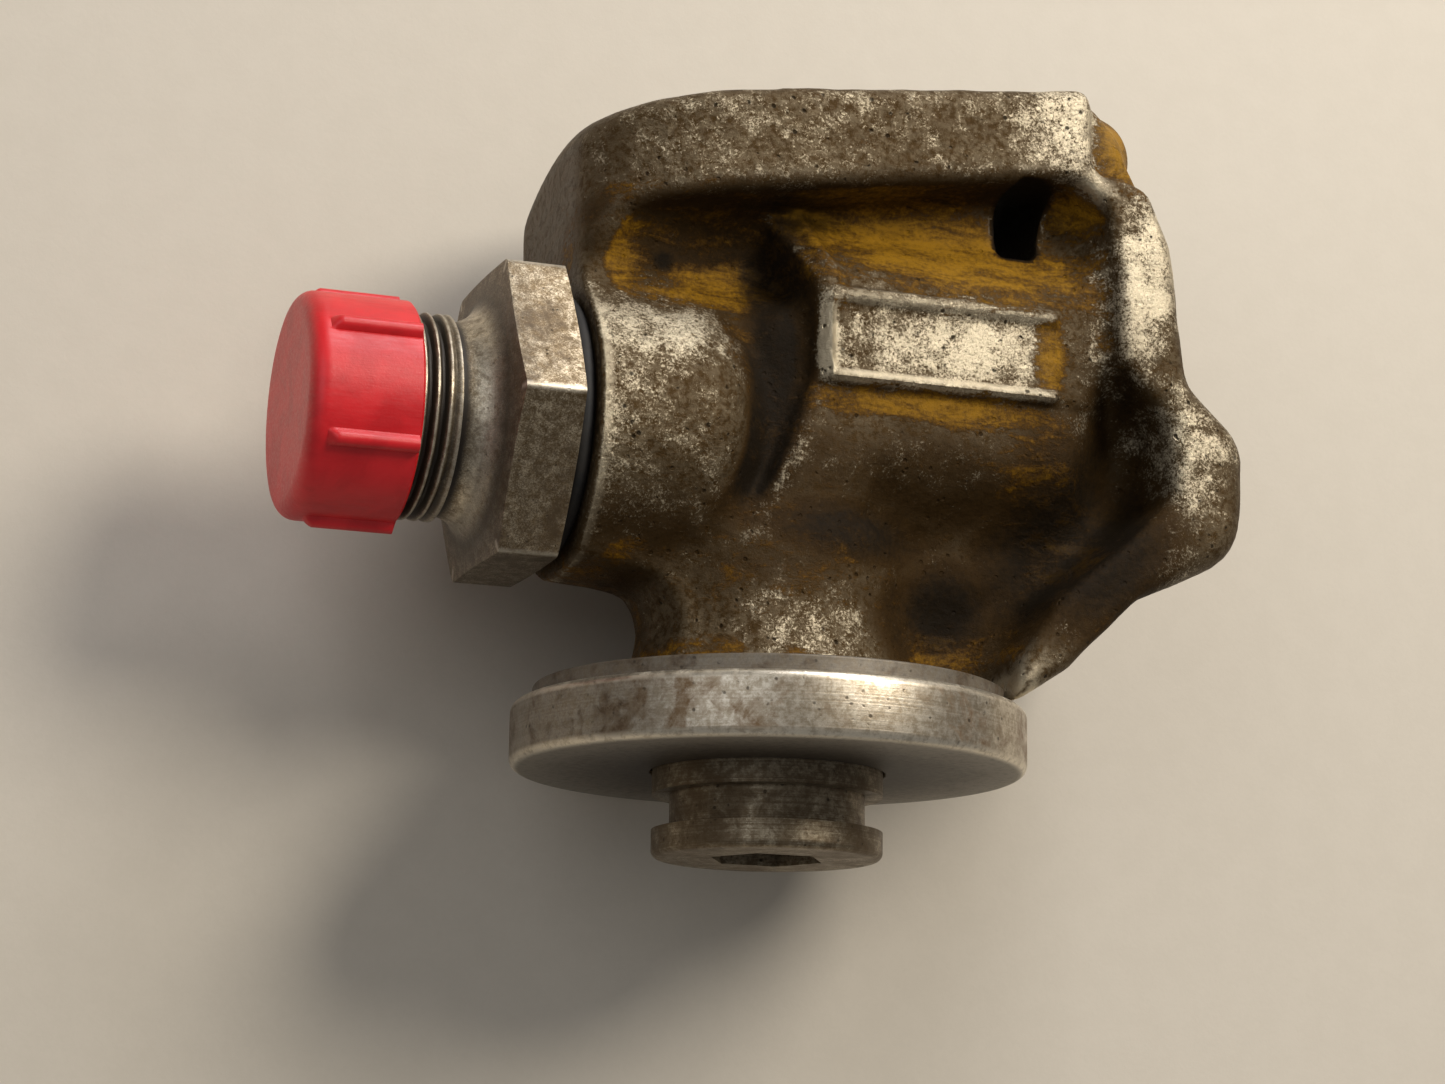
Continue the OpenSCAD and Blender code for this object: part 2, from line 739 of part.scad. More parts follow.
module preload_shims()
    color("gainsboro")
        outward_y()
            for (i = [0:shim_n - 1])
                ring(button_r, 2.6, shims_at + i * shim_t + shim_gap, shims_at + (i + 1) * shim_t);

module adjuster_screw()
    color("silver")
        outward_y()
            difference() {
                plug(tight_r, adjuster_at, shims_at);
                translate([0, 0, adjuster_at - 1]) cylinder(r = 3.4, h = adjuster_t, $fn = 6);
            }

module lock_ring()
    color("silver")
        outward_y()
            difference() {
                ring(tight_r, 4.6, lock_at, adjuster_at);
                for (a = [0:90:270])
                    rotate([0, 0, a])
                        translate([6.8, -0.8, lock_at - 1])
                            cube([4, 1.6, lock_t + 2]);
            }

// Adapter: stud, hexagon, concave flare, hose thread and flared nose in one piece
module port_adapter() {
    flare = [for (t = [0:15:90])
        [flare_r + (flare_base_r - flare_r) * (1 - cos(t)), thread_at - flare_l * sin(t)]];
    nose_r = thread_r - 2;
    color("darkgray")
        outward_x() {
            difference() {
                union() {
                    turned(concat(
                        [[adapter_bore / 2, stud_in], [stud_d / 2, stud_in],
                         [stud_d / 2, port_face - neck_in_l], [stud_d / 2 - 1.4, port_face - neck_in_l],
                         [stud_d / 2 - 1.4, hex_in + e], [flare_base_r, hex_in + e]],
                        [for (i = [len(flare) - 1:-1:0]) flare[i]],
                        [[thread_r, thread_at], [thread_r, thread_end], [nose_r, thread_end],
                         [nose_r - nose_cone_l * tan(37), adapter_end],
                         [adapter_bore / 2, adapter_end]]
                    ));
                    difference() {
                        translate([0, 0, hex_in]) cylinder(r = hex_r, h = hex_t, $fn = 6);
                        translate([0, 0, hex_in - 1])
                            cylinder(r = adapter_bore / 2 + 3, h = hex_t + 2);
                    }
                }
                plug(screen_r + fit_gap, stud_in - 1, stud_in + screen_room);
                ring(screen_r + fit_gap + clip_cut, screen_r - 1, stud_in + 1.6,
                     stud_in + 1.6 + clip_t + 0.1);
            }
        }
}

module adapter_seal()
    color("black")
        outward_x()
            o_ring(stud_d / 2 - 1.4 + seal_gap / 2, seal_gap - 2 * ring_gap, port_face + seal_gap / 2);

module inlet_screen()
    color("khaki")
        outward_x()
            difference() {
                plug(screen_r, stud_in + 1.7 + clip_t, stud_in + screen_room);
                for (i = [0:3])
                    for (j = [0:max(0, 6 * i - 1)])
                        rotate([0, 0, i == 0 ? 0 : 60 * j / i])
                            translate([3 * i, 0, stud_in])
                                cylinder(d = 1.9, h = screen_room + 1, $fn = 24);
                translate([0, 0, stud_in + screen_room - 1.6])
                    difference() {
                        cylinder(r = screen_r + 1, h = 2);
                        translate([0, 0, -1]) cylinder(r = screen_r - 1.6, h = 4);
                    }
            }

module screen_clip()
    color("dimgray")
        outward_x()
            difference() {
                ring(screen_r + clip_cut - 0.05, screen_r - 1.6,
                     stud_in + 1.65, stud_in + 1.65 + clip_t);
                translate([0, 0, stud_in])
                    linear_extrude(6)
                        polygon([[0, 0], [30, 7], [30, -7]]);
            }

module thread_cap()
    color("crimson")
        outward_x() {
            edge = [for (a = [0:15:90])
                [cap_r - cap_edge + cap_edge * cos(a), cap_out - cap_edge + cap_edge * sin(a)]];
            turned(concat(
                [[cap_in_r, cap_open], [cap_r, cap_open]],
                edge,
                [[0, cap_out], [0, cap_in], [cap_in_r, cap_in]]
            ));
            for (i = [0:cap_ribs - 1])
                rotate([0, 0, rib_turn + 360 * i / cap_ribs])
                    translate([cap_r - 0.5, -rib_w / 2, cap_open])
                        cube([rib_h + 0.5, rib_w, rib_len]);
        }

module gallery_seal() face_ring(-gallery_at, gallery_ring_r, gallery_ring);
module drain_seal() face_ring(drain_at, drain_ring_r, drain_ring);

module face_ring(y, mid_r, section)
    color("black")
        translate([0, y, section / 2 + 0.05])
            o_ring(mid_r, section - 0.1, 0);

body();
cartridge_barrel();
shoulder_seal();
lower_seal();
lower_backup_ring();
upper_seal();
upper_backup_ring();
main_seat();
main_poppet();
poppet_ring();
main_spring();
pilot_seat();
pilot_cone();
pilot_spring();
spring_button();
preload_shims();
adjuster_screw();
lock_ring();
port_adapter();
adapter_seal();
inlet_screen();
screen_clip();
thread_cap();
gallery_seal();
drain_seal();
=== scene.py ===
import json
import math
import bpy
import numpy as np
from mathutils import Matrix, Vector


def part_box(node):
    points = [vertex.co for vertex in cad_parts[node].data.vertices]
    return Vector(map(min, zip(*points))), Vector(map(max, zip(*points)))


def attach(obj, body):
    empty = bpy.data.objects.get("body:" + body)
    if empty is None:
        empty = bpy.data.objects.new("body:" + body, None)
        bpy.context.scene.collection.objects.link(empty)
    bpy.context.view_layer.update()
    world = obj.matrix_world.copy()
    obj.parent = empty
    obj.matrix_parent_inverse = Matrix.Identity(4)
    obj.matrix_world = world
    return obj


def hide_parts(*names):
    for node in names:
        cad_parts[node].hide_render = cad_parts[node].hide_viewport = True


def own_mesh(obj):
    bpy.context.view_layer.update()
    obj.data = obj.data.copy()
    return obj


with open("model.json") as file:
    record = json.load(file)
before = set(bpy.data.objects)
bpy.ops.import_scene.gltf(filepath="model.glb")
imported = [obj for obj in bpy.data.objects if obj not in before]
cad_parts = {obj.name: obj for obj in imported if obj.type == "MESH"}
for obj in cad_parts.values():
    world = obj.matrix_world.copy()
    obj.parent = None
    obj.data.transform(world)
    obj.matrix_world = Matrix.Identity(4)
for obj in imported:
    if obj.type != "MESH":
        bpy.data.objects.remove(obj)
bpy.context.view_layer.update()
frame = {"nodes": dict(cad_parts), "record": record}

scene = bpy.context.scene
mm = 0.001

mounts = {mount["name"]: mount for mount in frame["record"]["mounts"]}
axisHeight = mounts["nose"]["pos_m"][2] / mm
flangeRadius = mounts["flange"]["dims"]["r_mm"]
axisPoint = (0, 0, axisHeight * mm)


def boxOf(node):
    low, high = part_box(node)
    return np.array(low) / mm, np.array(high) / mm


view = {
    "place": (-0.1856, -0.1278, 0.5407),
    "towards": (0.328, 0.207, -0.922),
    "top": (-0.084, 0.978, 0.189),
    "lens": 82.2,
}


def addCamera():
    data = bpy.data.cameras.new("camera")
    data.lens = view["lens"]
    data.sensor_width = 36
    data.clip_start, data.clip_end = 0.01, 20
    camera = bpy.data.objects.new("camera", data)
    scene.collection.objects.link(camera)
    back = -Vector(view["towards"]).normalized()
    right = Vector(view["top"]).cross(back).normalized()
    top = back.cross(right)
    turn = Matrix((right, top, back)).transposed().to_4x4()
    camera.matrix_world = Matrix.Translation(view["place"]) @ turn
    scene.camera = camera


lamps = {
    "key": {"place": (0.44, 0.46, 0.84), "size": 0.42, "power": 7.6, "colour": (1.0, 0.93, 0.82)},
    "window": {"place": (0.26, 0.98, 0.52), "size": 0.50, "power": 5.6, "colour": (0.97, 0.97, 1.0)},
    "fill": {"place": (-0.70, 0.30, 0.90), "size": 0.9, "power": 2.1, "colour": (0.93, 0.96, 1.0)},
}
room = {"colour": (0.88, 0.86, 0.84), "strength": 0.24}


def addLamps():
    for name, lamp in lamps.items():
        data = bpy.data.lights.new(name, "AREA")
        data.shape = "DISK"
        data.size = lamp["size"]
        data.energy = lamp["power"]
        data.color = lamp["colour"]
        lampObject = bpy.data.objects.new(name, data)
        scene.collection.objects.link(lampObject)
        lampObject.location = lamp["place"]
        aim = Vector((0, 0, 0.04)) - lampObject.location
        lampObject.rotation_euler = aim.to_track_quat("-Z", "Y").to_euler()
    world = bpy.data.worlds.new("room")
    scene.world = world
    world.use_nodes = True
    background = world.node_tree.nodes["Background"]
    background.inputs["Color"].default_value = (*room["colour"], 1)
    background.inputs["Strength"].default_value = room["strength"]


print("camera and lamps")
scene.view_settings.view_transform = "Standard"
addCamera()
addLamps()


class Signal:
    # What a node puts out; sums, differences and products of signals are math nodes in the same tree
    def __init__(self, socket):
        self.socket = socket

    def __add__(self, other):
        return calculate("ADD", self, other)

    def __sub__(self, other):
        return calculate("SUBTRACT", self, other)

    def __rsub__(self, other):
        return calculate("SUBTRACT", other, self)

    def __mul__(self, other):
        return calculate("MULTIPLY", self, other)


def addNode(kind, inputs, output=0, tree=None, **settings):
    # A node with each input linked or given a value, in the tree that the linked signals come from
    tree = tree or next(value.socket.id_data for value in inputs.values() if isinstance(value, Signal))
    made = tree.nodes.new("ShaderNode" + kind)
    for key, value in settings.items():
        setattr(made, key, value)
    for key, value in inputs.items():
        if isinstance(value, Signal):
            tree.links.new(value.socket, made.inputs[key])
        else:
            made.inputs[key].default_value = value
    return Signal(made.outputs[output])


def calculate(operation, a, b=0.0):
    return addNode("Math", {0: a, 1: b}, operation=operation)


def rise(value, start, stop, low=0.0, high=1.0, form="SMOOTHSTEP"):
    # From low at start to high at stop, as a soft step or, where the form is LINEAR, a straight line
    ends = {"Value": value, "From Min": start, "From Max": stop, "To Min": low, "To Max": high}
    return addNode("MapRange", ends, interpolation_type=form)


def mixValue(share, a, b):
    return addNode("Mix", {0: share, 2: a, 3: b}, data_type="FLOAT")


def mixColour(share, a, b):
    a, b = ((*colour, 1) if isinstance(colour, tuple) else colour for colour in (a, b))
    return addNode("Mix", {0: share, 6: a, 7: b}, 2, data_type="RGBA")


def noise(vector, scale, detail=4.0, roughness=0.6, distortion=0.0):
    # Noise whose scale is in features for each millimetre
    return addNode("TexNoise", {"Vector": vector, "Scale": scale / mm, "Detail": detail,
                                          "Roughness": roughness, "Distortion": distortion})


def vectorMath(operation, inputs, output="Vector"):
    return addNode("VectorMath", inputs, output, operation=operation)


def shifted(vector, shift):
    return vectorMath("ADD", {0: vector, 1: shift})


def bump(height, distance, strength):
    # Distance in millimetres
    return addNode("Bump", {"Height": height, "Distance": distance * mm, "Strength": strength})


def newGroup(name, vectors, values, outputs):
    # A group with vector inputs, number inputs with their defaults, and number outputs
    group = bpy.data.node_groups.new(name, "ShaderNodeTree")
    for label in vectors:
        group.interface.new_socket(label, in_out="INPUT", socket_type="NodeSocketVector")
    for label, value in values.items():
        socket = group.interface.new_socket(label, in_out="INPUT", socket_type="NodeSocketFloat")
        socket.default_value = value
    for label in outputs:
        group.interface.new_socket(label, in_out="OUTPUT", socket_type="NodeSocketFloat")
    return group, *(Signal(socket) for socket in group.nodes.new("NodeGroupInput").outputs if socket.name)


def closeGroup(group, results):
    output = group.nodes.new("NodeGroupOutput")
    for label, value in results.items():
        group.links.new(value.socket, output.inputs[label])
    return group


def useGroup(group, inputs):
    outputs = addNode("Group", inputs, node_tree=group).socket.node.outputs
    return {socket.name: Signal(socket) for socket in outputs}


def buildSpeckleGroup():
    # Flecks and pits: a fine noise broken by a coarser one, and rare round pits
    group, vector, amount, size = newGroup(
        "speckle", ["Vector"], {"Amount": 0.5, "Size": 1.0}, ["Flecks", "Pits", "Height"])
    point = vectorMath("SCALE", {0: vector, 3: size})
    fine = noise(point, 2.2, 6, 0.78, 0.5)
    coarse = noise(shifted(point, (0.3, 0.1, 0.2)), 0.30, 4, 0.62, 0.4)
    flecks = rise(fine * 0.70 + coarse * 0.30 - (0.66 - amount * 0.30), -0.06, 0.09)
    cells = addNode("TexVoronoi", {"Vector": point, "Scale": 0.55 / mm}, "Distance")
    rare = noise(shifted(point, (0.7, 0.4, 0.9)), 0.5, 2, 0.5)
    pits = rise(cells, 0.26, 0.12) * rise(rare, 0.52, 0.62)
    return closeGroup(group, {"Flecks": flecks, "Pits": pits, "Height": fine * 0.6 - pits * 0.8})


def buildTurningGroup():
    # Rings left by a lathe tool: noise that changes only with the distance along the axis and from it
    group, vector, axis, centre = newGroup("turning", ["Vector", "Axis", "Centre"], {}, ["Tone", "Height"])
    fromCentre = vectorMath("SUBTRACT", {0: vector, 1: centre})
    along = vectorMath("DOT_PRODUCT", {0: fromCentre, 1: axis}, "Value")
    length = vectorMath("LENGTH", {0: fromCentre}, "Value")
    radius = calculate("SQRT", calculate("MAXIMUM", length * length - along * along, 0.0))
    place = addNode("CombineXYZ", {0: along, 1: radius, 2: 0.0})
    fine = noise(place, 3.2, 3, 0.7)
    wide = noise(place, 0.55, 2, 0.5)
    return closeGroup(group, {"Tone": fine * 0.6 + wide * 0.4, "Height": fine})


def buildStainGroup():
    # Blotches of tarnish in two sizes with soft borders, and a finer shade of its own
    group, vector, amount = newGroup("stain", ["Vector"], {"Amount": 0.5}, ["Mask", "Shade"])
    large = noise(vector, 0.07, 4, 0.6, 0.8)
    middle = noise(shifted(vector, (0.2, 0.5, 0.1)), 0.28, 5, 0.68, 0.5)
    mask = rise(large * 0.55 + middle * 0.45 - (0.72 - amount * 0.44), -0.07, 0.07)
    shade = noise(shifted(vector, (0.9, 0.3, 0.6)), 0.8, 6, 0.7, 0.2)
    return closeGroup(group, {"Mask": mask, "Shade": shade})


speckle = buildSpeckleGroup()
turning = buildTurningGroup()
stain = buildStainGroup()


def startMaterial(name, roughness, metallic, specular=0.5):
    # A material, its shader, and the point that its patterns are placed by
    material = bpy.data.materials.new(name)
    material.use_nodes = True
    shader = material.node_tree.nodes["Principled BSDF"]
    shader.inputs["Roughness"].default_value = roughness
    shader.inputs["Metallic"].default_value = metallic
    shader.inputs["Specular IOR Level"].default_value = specular
    return material, shader, addNode("TexCoord", {}, "Object", material.node_tree)


def attribute(shader, name):
    return addNode("Attribute", {}, "Fac", shader.id_data, attribute_name=name)


def connect(shader, **sockets):
    names = {"colour": "Base Color", "roughness": "Roughness", "metallic": "Metallic", "normal": "Normal"}
    for key, value in sockets.items():
        shader.id_data.links.new(value.socket, shader.inputs[names[key]])


forgedLook = {
    "bright": (0.64, 0.555, 0.400),
    "grey": (0.160, 0.122, 0.074),
    "brown": (0.066, 0.038, 0.013),
    # The dark tones below serve for dirt and also for painted shade in hollows and in the shadows of the rim
    # and ridge
    "dirtAndShade": (0.038, 0.019, 0.0036),
    "grimeAndShade": (0.009, 0.005, 0.0011),
    "ochre": (0.31, 0.155, 0.007),
    "darkOchre": (0.080, 0.035, 0.002),
    "ground": (0.060, 0.048, 0.033),
    "specular": 0.12,
    "edgeFlecks": 0.55,
    "hollowDirtAndShade": 1.1,
    "bumpDepth": 0.28,
}


def buildForgedSteel():
    look = forgedLook
    material, shader, point = startMaterial("forgedSteel", 0.45, 0.8, look["specular"])
    cavity, edge, ground, bare, paint, grimeAndShade = (
        attribute(shader, name) for name in ("cavity", "edge", "ground", "bare", "paint", "grimeAndShade"))
    patches = useGroup(stain, {"Vector": point, "Amount": 0.5})
    mask, shade = patches["Mask"], patches["Shade"]
    # Bright flecks, most of them on edges, over a skin of brown and grey; the spots of bare steel add flecks
    # that are partly painted highlight, on the boss's top and the rim's right side
    amount = bare + edge * look["edgeFlecks"] - mask * 0.22 - ground * 0.25
    flecks = useGroup(speckle, {"Vector": point, "Amount": amount, "Size": 1.0})
    brightShare = calculate("MAXIMUM", flecks["Flecks"], rise(edge + shade * 0.4, 0.34, 0.74, 0.0, 0.9))
    under = mixColour(rise(shade, 0.38, 0.62), look["brown"], look["grey"])
    under = mixColour(mask * 0.35, under, look["dirtAndShade"])
    colour = mixColour(brightShare, under, look["bright"])
    colour = mixColour(flecks["Pits"] * 0.8, colour, look["grimeAndShade"])
    roughness = mixValue(brightShare, 0.52, 0.36)
    metallic = mixValue(brightShare, 0.62, 0.95)
    # Faces that were ground or turned keep fine marks round the hose port's axis
    lines = useGroup(turning, {"Vector": point, "Axis": (1, 0, 0), "Centre": axisPoint})
    groundTone = mixColour(rise(lines["Tone"], 0.35, 0.65), look["brown"], look["ground"])
    groundShare = ground * rise(shade, 0.30, 0.55, 0.35, 0.9)
    colour = mixColour(groundShare, colour, groundTone)
    roughness = mixValue(groundShare, roughness, 0.40)
    # Oily dirt and painted shade darken the skin where it is hollow and under the spots of grime, and flecks
    # show through where the darkening is thin
    dirtAndShade = grimeAndShade + cavity * look["hollowDirtAndShade"] + (shade - 0.5) * 1.1
    dirtAndShadeTone = mixColour(rise(dirtAndShade, 0.55, 1.5), look["dirtAndShade"], look["grimeAndShade"])
    dirtAndShadeShare = rise(dirtAndShade, 0.10, 0.80) * (1.0 - flecks["Flecks"] * rise(dirtAndShade, 0.7, 1.1, 0.5, 0.0))
    colour = mixColour(dirtAndShadeShare, colour, dirtAndShadeTone)
    metallic = mixValue(dirtAndShadeShare, metallic, 0.05)
    roughness = mixValue(dirtAndShadeShare, roughness, 0.66)
    # Ochre paint left in streaks
    streaks = {"Vector": point, "Rotation": (0, 0, 0.20), "Scale": (0.35, 1.2, 0.8)}
    crumbs = noise(shifted(point, (0.1, 0.6, 0.3)), 1.3, 5, 0.75)
    broken = noise(addNode("Mapping", streaks), 0.32, 6, 0.72, 0.6) * 0.6 + crumbs * 0.4
    painted = paint + (broken - 0.5) * 3.4
    paintShare = rise(painted, 0.25, 0.62, 0.0, 0.95)
    ochre = mixColour(rise(painted, 0.45, 1.25), look["darkOchre"], look["ochre"])
    ochre = mixColour(rise(dirtAndShade, 0.45, 1.4, 0.0, 0.85), ochre, look["grimeAndShade"])
    colour = mixColour(paintShare, colour, ochre)
    metallic = mixValue(paintShare, metallic, 0.0)
    roughness = mixValue(paintShare, roughness, 0.50)
    # Grain of the skin, the paint's thickness and the ground faces' lines
    height = flecks["Height"] + noise(point, 0.45, 4, 0.6) * 1.3 + paintShare * 0.25
    height = mixValue(groundShare, height, lines["Height"] * 0.35)
    connect(shader, colour=colour, roughness=roughness, metallic=metallic,
            normal=bump(height, look["bumpDepth"], 1.0))
    return material


turnedLook = {
    # Colour of edges worn bright, also used for a painted highlight
    "wornAndHighlight": (0.80, 0.73, 0.60),
    "bright": (0.60, 0.52, 0.39),
    "dull": (0.23, 0.180, 0.115),
    "brown": (0.095, 0.060, 0.027),
    "grimeAndShade": (0.022, 0.014, 0.007),
    "axis": (0, 1, 0),
    "stained": 0.46,
    "roughness": 0.34,
    "flecks": 0.50,
    "fleckSize": 1.2,
    "darkFlecks": 0.45,
    "rings": 1.0,
}
flangeLook = {
    **turnedLook,
    "bright": (0.62, 0.56, 0.46),
    "dull": (0.36, 0.305, 0.225),
    "brown": (0.150, 0.085, 0.034),
    "stained": 0.40,
    "flecks": 0.6,
    "darkFlecks": 0.30,
    "rings": 0.45,
}
noseLook = {
    **turnedLook,
    "bright": (0.40, 0.345, 0.25),
    "dull": (0.165, 0.128, 0.085),
    "roughness": 0.40,
}
adapterLook = {
    **turnedLook,
    "bright": (0.66, 0.56, 0.40),
    "dull": (0.26, 0.195, 0.115),
    "axis": (1, 0, 0),
    "stained": 0.36,
    "fleckSize": 1.7,
    "darkFlecks": 0.85,
    "rings": 0.3,
}


def buildTurnedSteel(name, look):
    base = look["roughness"]
    material, shader, point = startMaterial(name, base, 0.85)
    rings = useGroup(turning, {"Vector": point, "Axis": look["axis"], "Centre": axisPoint})
    blotches = useGroup(stain, {"Vector": point, "Amount": look["stained"]})
    shade = blotches["Shade"]
    flecks = useGroup(speckle, {"Vector": point, "Amount": look["flecks"], "Size": look["fleckSize"]})
    # Turned rings and tarnish
    tone = (rings["Tone"] - 0.5) * look["rings"] + shade
    colour = mixColour(rise(tone, 0.36, 0.64), look["dull"], look["bright"])
    browned = blotches["Mask"] * rise(shade, 0.3, 0.6, 0.35, 0.95)
    colour = mixColour(browned, colour, look["brown"])
    dark = (1.0 - flecks["Flecks"]) * look["darkFlecks"]
    colour = mixColour(dark, colour, look["brown"])
    colour = mixColour(flecks["Pits"] * 0.7, colour, look["grimeAndShade"])
    # Edges worn bright, with a painted highlight on the adapter's flare, and dirt and painted shade where the
    # mesh's marks put them
    wornAndHighlight = attribute(shader, "wornAndHighlight") * rise(shade, 0.35, 0.55, 0.45, 1.0)
    colour = mixColour(wornAndHighlight, colour, look["wornAndHighlight"])
    dirtAndShadeShare = rise(attribute(shader, "grimeAndShade") + (shade - 0.5) * 0.5, 0.05, 0.85)
    colour = mixColour(dirtAndShadeShare, colour, look["grimeAndShade"])
    rough = mixValue(calculate("MAXIMUM", browned, dark), base, base + 0.14)
    rough = mixValue(dirtAndShadeShare, rough, 0.55)
    metallic = mixValue(dirtAndShadeShare, mixValue(browned, 0.94, 0.6), 0.15)
    height = rings["Height"] * look["rings"] + flecks["Height"] * (look["darkFlecks"] * 1.6)
    connect(shader, colour=colour, roughness=rough, metallic=metallic, normal=bump(height, 0.05, 0.8))
    return material


plasticLook = {
    "deep": (0.54, 0.002, 0.007),
    "light": (0.68, 0.008, 0.014),
    "dust": (0.60, 0.22, 0.19),
    "dustFrom": 80.2,
    "dustTo": 81.4,
    "specular": 0.55,
}


def buildRedPlastic():
    look = plasticLook
    material, shader, point = startMaterial("redPlastic", 0.36, 0.0, look["specular"])
    fine = noise(point, 1.6, 5, 0.7)
    colour = mixColour(rise(noise(point, 0.12, 4, 0.6, 0.4), 0.35, 0.65), look["deep"], look["light"])
    # The end face is chalky with dust
    along = addNode("SeparateXYZ", {"Vector": point})
    endFace = rise(along, -look["dustFrom"] * mm, -look["dustTo"] * mm)
    dusty = rise(fine, 0.42, 0.66, 0.3, 1.0) * (endFace * 0.22 + 0.02)
    colour = mixColour(dusty, colour, look["dust"])
    streaky = addNode("Mapping", {"Vector": point, "Scale": (0.12, 1.0, 1.0)})
    scuffs = noise(streaky, 2.2, 3, 0.6)
    rough = rise(scuffs, 0.3, 0.7, 0.34, 0.50, "LINEAR")
    connect(shader, colour=colour, roughness=rough, normal=bump(fine + scuffs * 0.8, 0.05, 0.5))
    return material


def buildPlain(name, dark, pale, roughness, metallic, scale, bumpHeight):
    # Two close shades in fine mottling with a little roughness of its own
    material, shader, point = startMaterial(name, roughness, metallic)
    grain = noise(point, scale, 5, 0.7, 0.2)
    wide = noise(point, scale * 0.18, 3, 0.6)
    colour = mixColour(rise(grain * 0.5 + wide * 0.5, 0.38, 0.62), dark, pale)
    rough = rise(grain, 0.3, 0.7, roughness - 0.06, roughness + 0.08, "LINEAR")
    connect(shader, colour=colour, roughness=rough, normal=bump(grain, bumpHeight, 0.6))
    return material


print("materials")
forgedSteel = buildForgedSteel()
flangeSteel = buildTurnedSteel("flangeSteel", flangeLook)
noseSteel = buildTurnedSteel("noseSteel", noseLook)
adapterSteel = buildTurnedSteel("adapterSteel", adapterLook)
redPlastic = buildRedPlastic()
groundSteel = buildPlain("groundSteel", (0.52, 0.52, 0.52), (0.66, 0.66, 0.65), 0.22, 1.0, 1.6, 0.01)
springSteel = buildPlain("springSteel", (0.10, 0.10, 0.11), (0.20, 0.20, 0.21), 0.34, 0.9, 1.2, 0.02)
brass = buildPlain("brass", (0.50, 0.34, 0.12), (0.68, 0.50, 0.22), 0.30, 1.0, 0.9, 0.02)
blackRubber = buildPlain("blackRubber", (0.010, 0.010, 0.011), (0.024, 0.021, 0.018), 0.72, 0.0, 1.0, 0.05)
whitePlastic = buildPlain("whitePlastic", (0.72, 0.71, 0.67), (0.82, 0.81, 0.77), 0.42, 0.0, 0.8, 0.02)
floorPaint = buildPlain("floorPaint", (0.600, 0.545, 0.460), (0.618, 0.562, 0.476), 0.60, 0.0, 0.9, 0.05)


def buildFloor():
    half = 3.0
    corners = [(-half, -half, 0), (half, -half, 0), (half, half, 0), (-half, half, 0)]
    mesh = bpy.data.meshes.new("floor")
    mesh.from_pydata(corners, [], [(0, 1, 2, 3)])
    mesh.materials.append(floorPaint)
    floor = bpy.data.objects.new("floor", mesh)
    scene.collection.objects.link(floor)


buildFloor()


def makeMesh(name, points, faces, material, body, smoothAngle=40, marks=None):
    # Points in millimetres, faces as an array of four corners each; a corner that is given twice in a row
    # makes the face a triangle, and a face with fewer corners than that is left out
    mesh = bpy.data.meshes.new(name)
    mesh.vertices.add(len(points))
    mesh.vertices.foreach_set("co", (np.asarray(points, float) * mm).astype(np.float32).ravel())
    faces = np.asarray(faces, np.int32)
    distinct = faces != np.roll(faces, -1, 1)
    whole = distinct.sum(1) > 2
    faces, distinct = faces[whole], distinct[whole]
    counts = distinct.sum(1)
    corners = faces[distinct]
    mesh.loops.add(len(corners))
    mesh.loops.foreach_set("vertex_index", corners)
    mesh.polygons.add(len(faces))
    mesh.polygons.foreach_set("loop_start", (np.cumsum(counts) - counts).astype(np.int32))
    mesh.update(calc_edges=True)
    mesh.validate()
    mesh.shade_smooth()
    if smoothAngle:
        mesh.set_sharp_from_angle(angle=math.radians(smoothAngle))
    for label, values in (marks or {}).items():
        mesh.attributes.new(label, "FLOAT", "POINT").data.foreach_set("value", values.astype(np.float32))
    mesh.materials.append(material)
    piece = bpy.data.objects.new(name, mesh)
    scene.collection.objects.link(piece)
    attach(piece, body)
    print(name, len(faces), "faces")
    return piece


def closeSkin(points, faces):
    # Points at the same place become one, which closes seams and poles, and the faces are turned outwards
    # if the skin's volume comes out negative
    points, index = np.unique(np.round(points, 5), axis=0, return_inverse=True)
    faces = index.reshape(-1)[faces]
    a, b, c, d = (points[faces[:, k]] for k in range(4))
    volume = np.einsum("ij,ij->i", a, np.cross(b, c)).sum() + np.einsum("ij,ij->i", a, np.cross(c, d)).sum()
    return points, faces if volume > 0 else faces[:, ::-1]


def ramp(values):
    return np.clip(values, 0, 1)


def axisPlace(points, axis):
    # Distance from a cartridge (1) or hose port (0) axis, and distance outwards along it
    return np.hypot(points[:, 1 - axis], points[:, 2] - axisHeight), -points[:, axis]


def gridFaces(rows, columns, closeRows, closeColumns):
    # Four corners for each cell of a grid whose points run row by row
    row = np.arange(rows if closeRows else rows - 1)[:, None]
    column = np.arange(columns if closeColumns else columns - 1)[None, :]
    nextRow = (row + 1) % rows
    nextColumn = (column + 1) % columns
    corners = [row * columns + column, nextRow * columns + column,
               nextRow * columns + nextColumn, row * columns + nextColumn]
    return np.stack(np.broadcast_arrays(*corners), -1).reshape(-1, 4)


def outwardY(radius, angle, out):
    # A point at a radius and angle round the cartridge axis, at a distance towards the nose
    return np.stack([radius * np.sin(angle), -out + 0 * angle, axisHeight + radius * np.cos(angle)], -1)


def outwardX(radius, angle, out):
    # A point at a radius and angle round the hose port's axis, at a distance towards the cap
    return outwardY(radius, angle, out)[..., [1, 0, 2]]


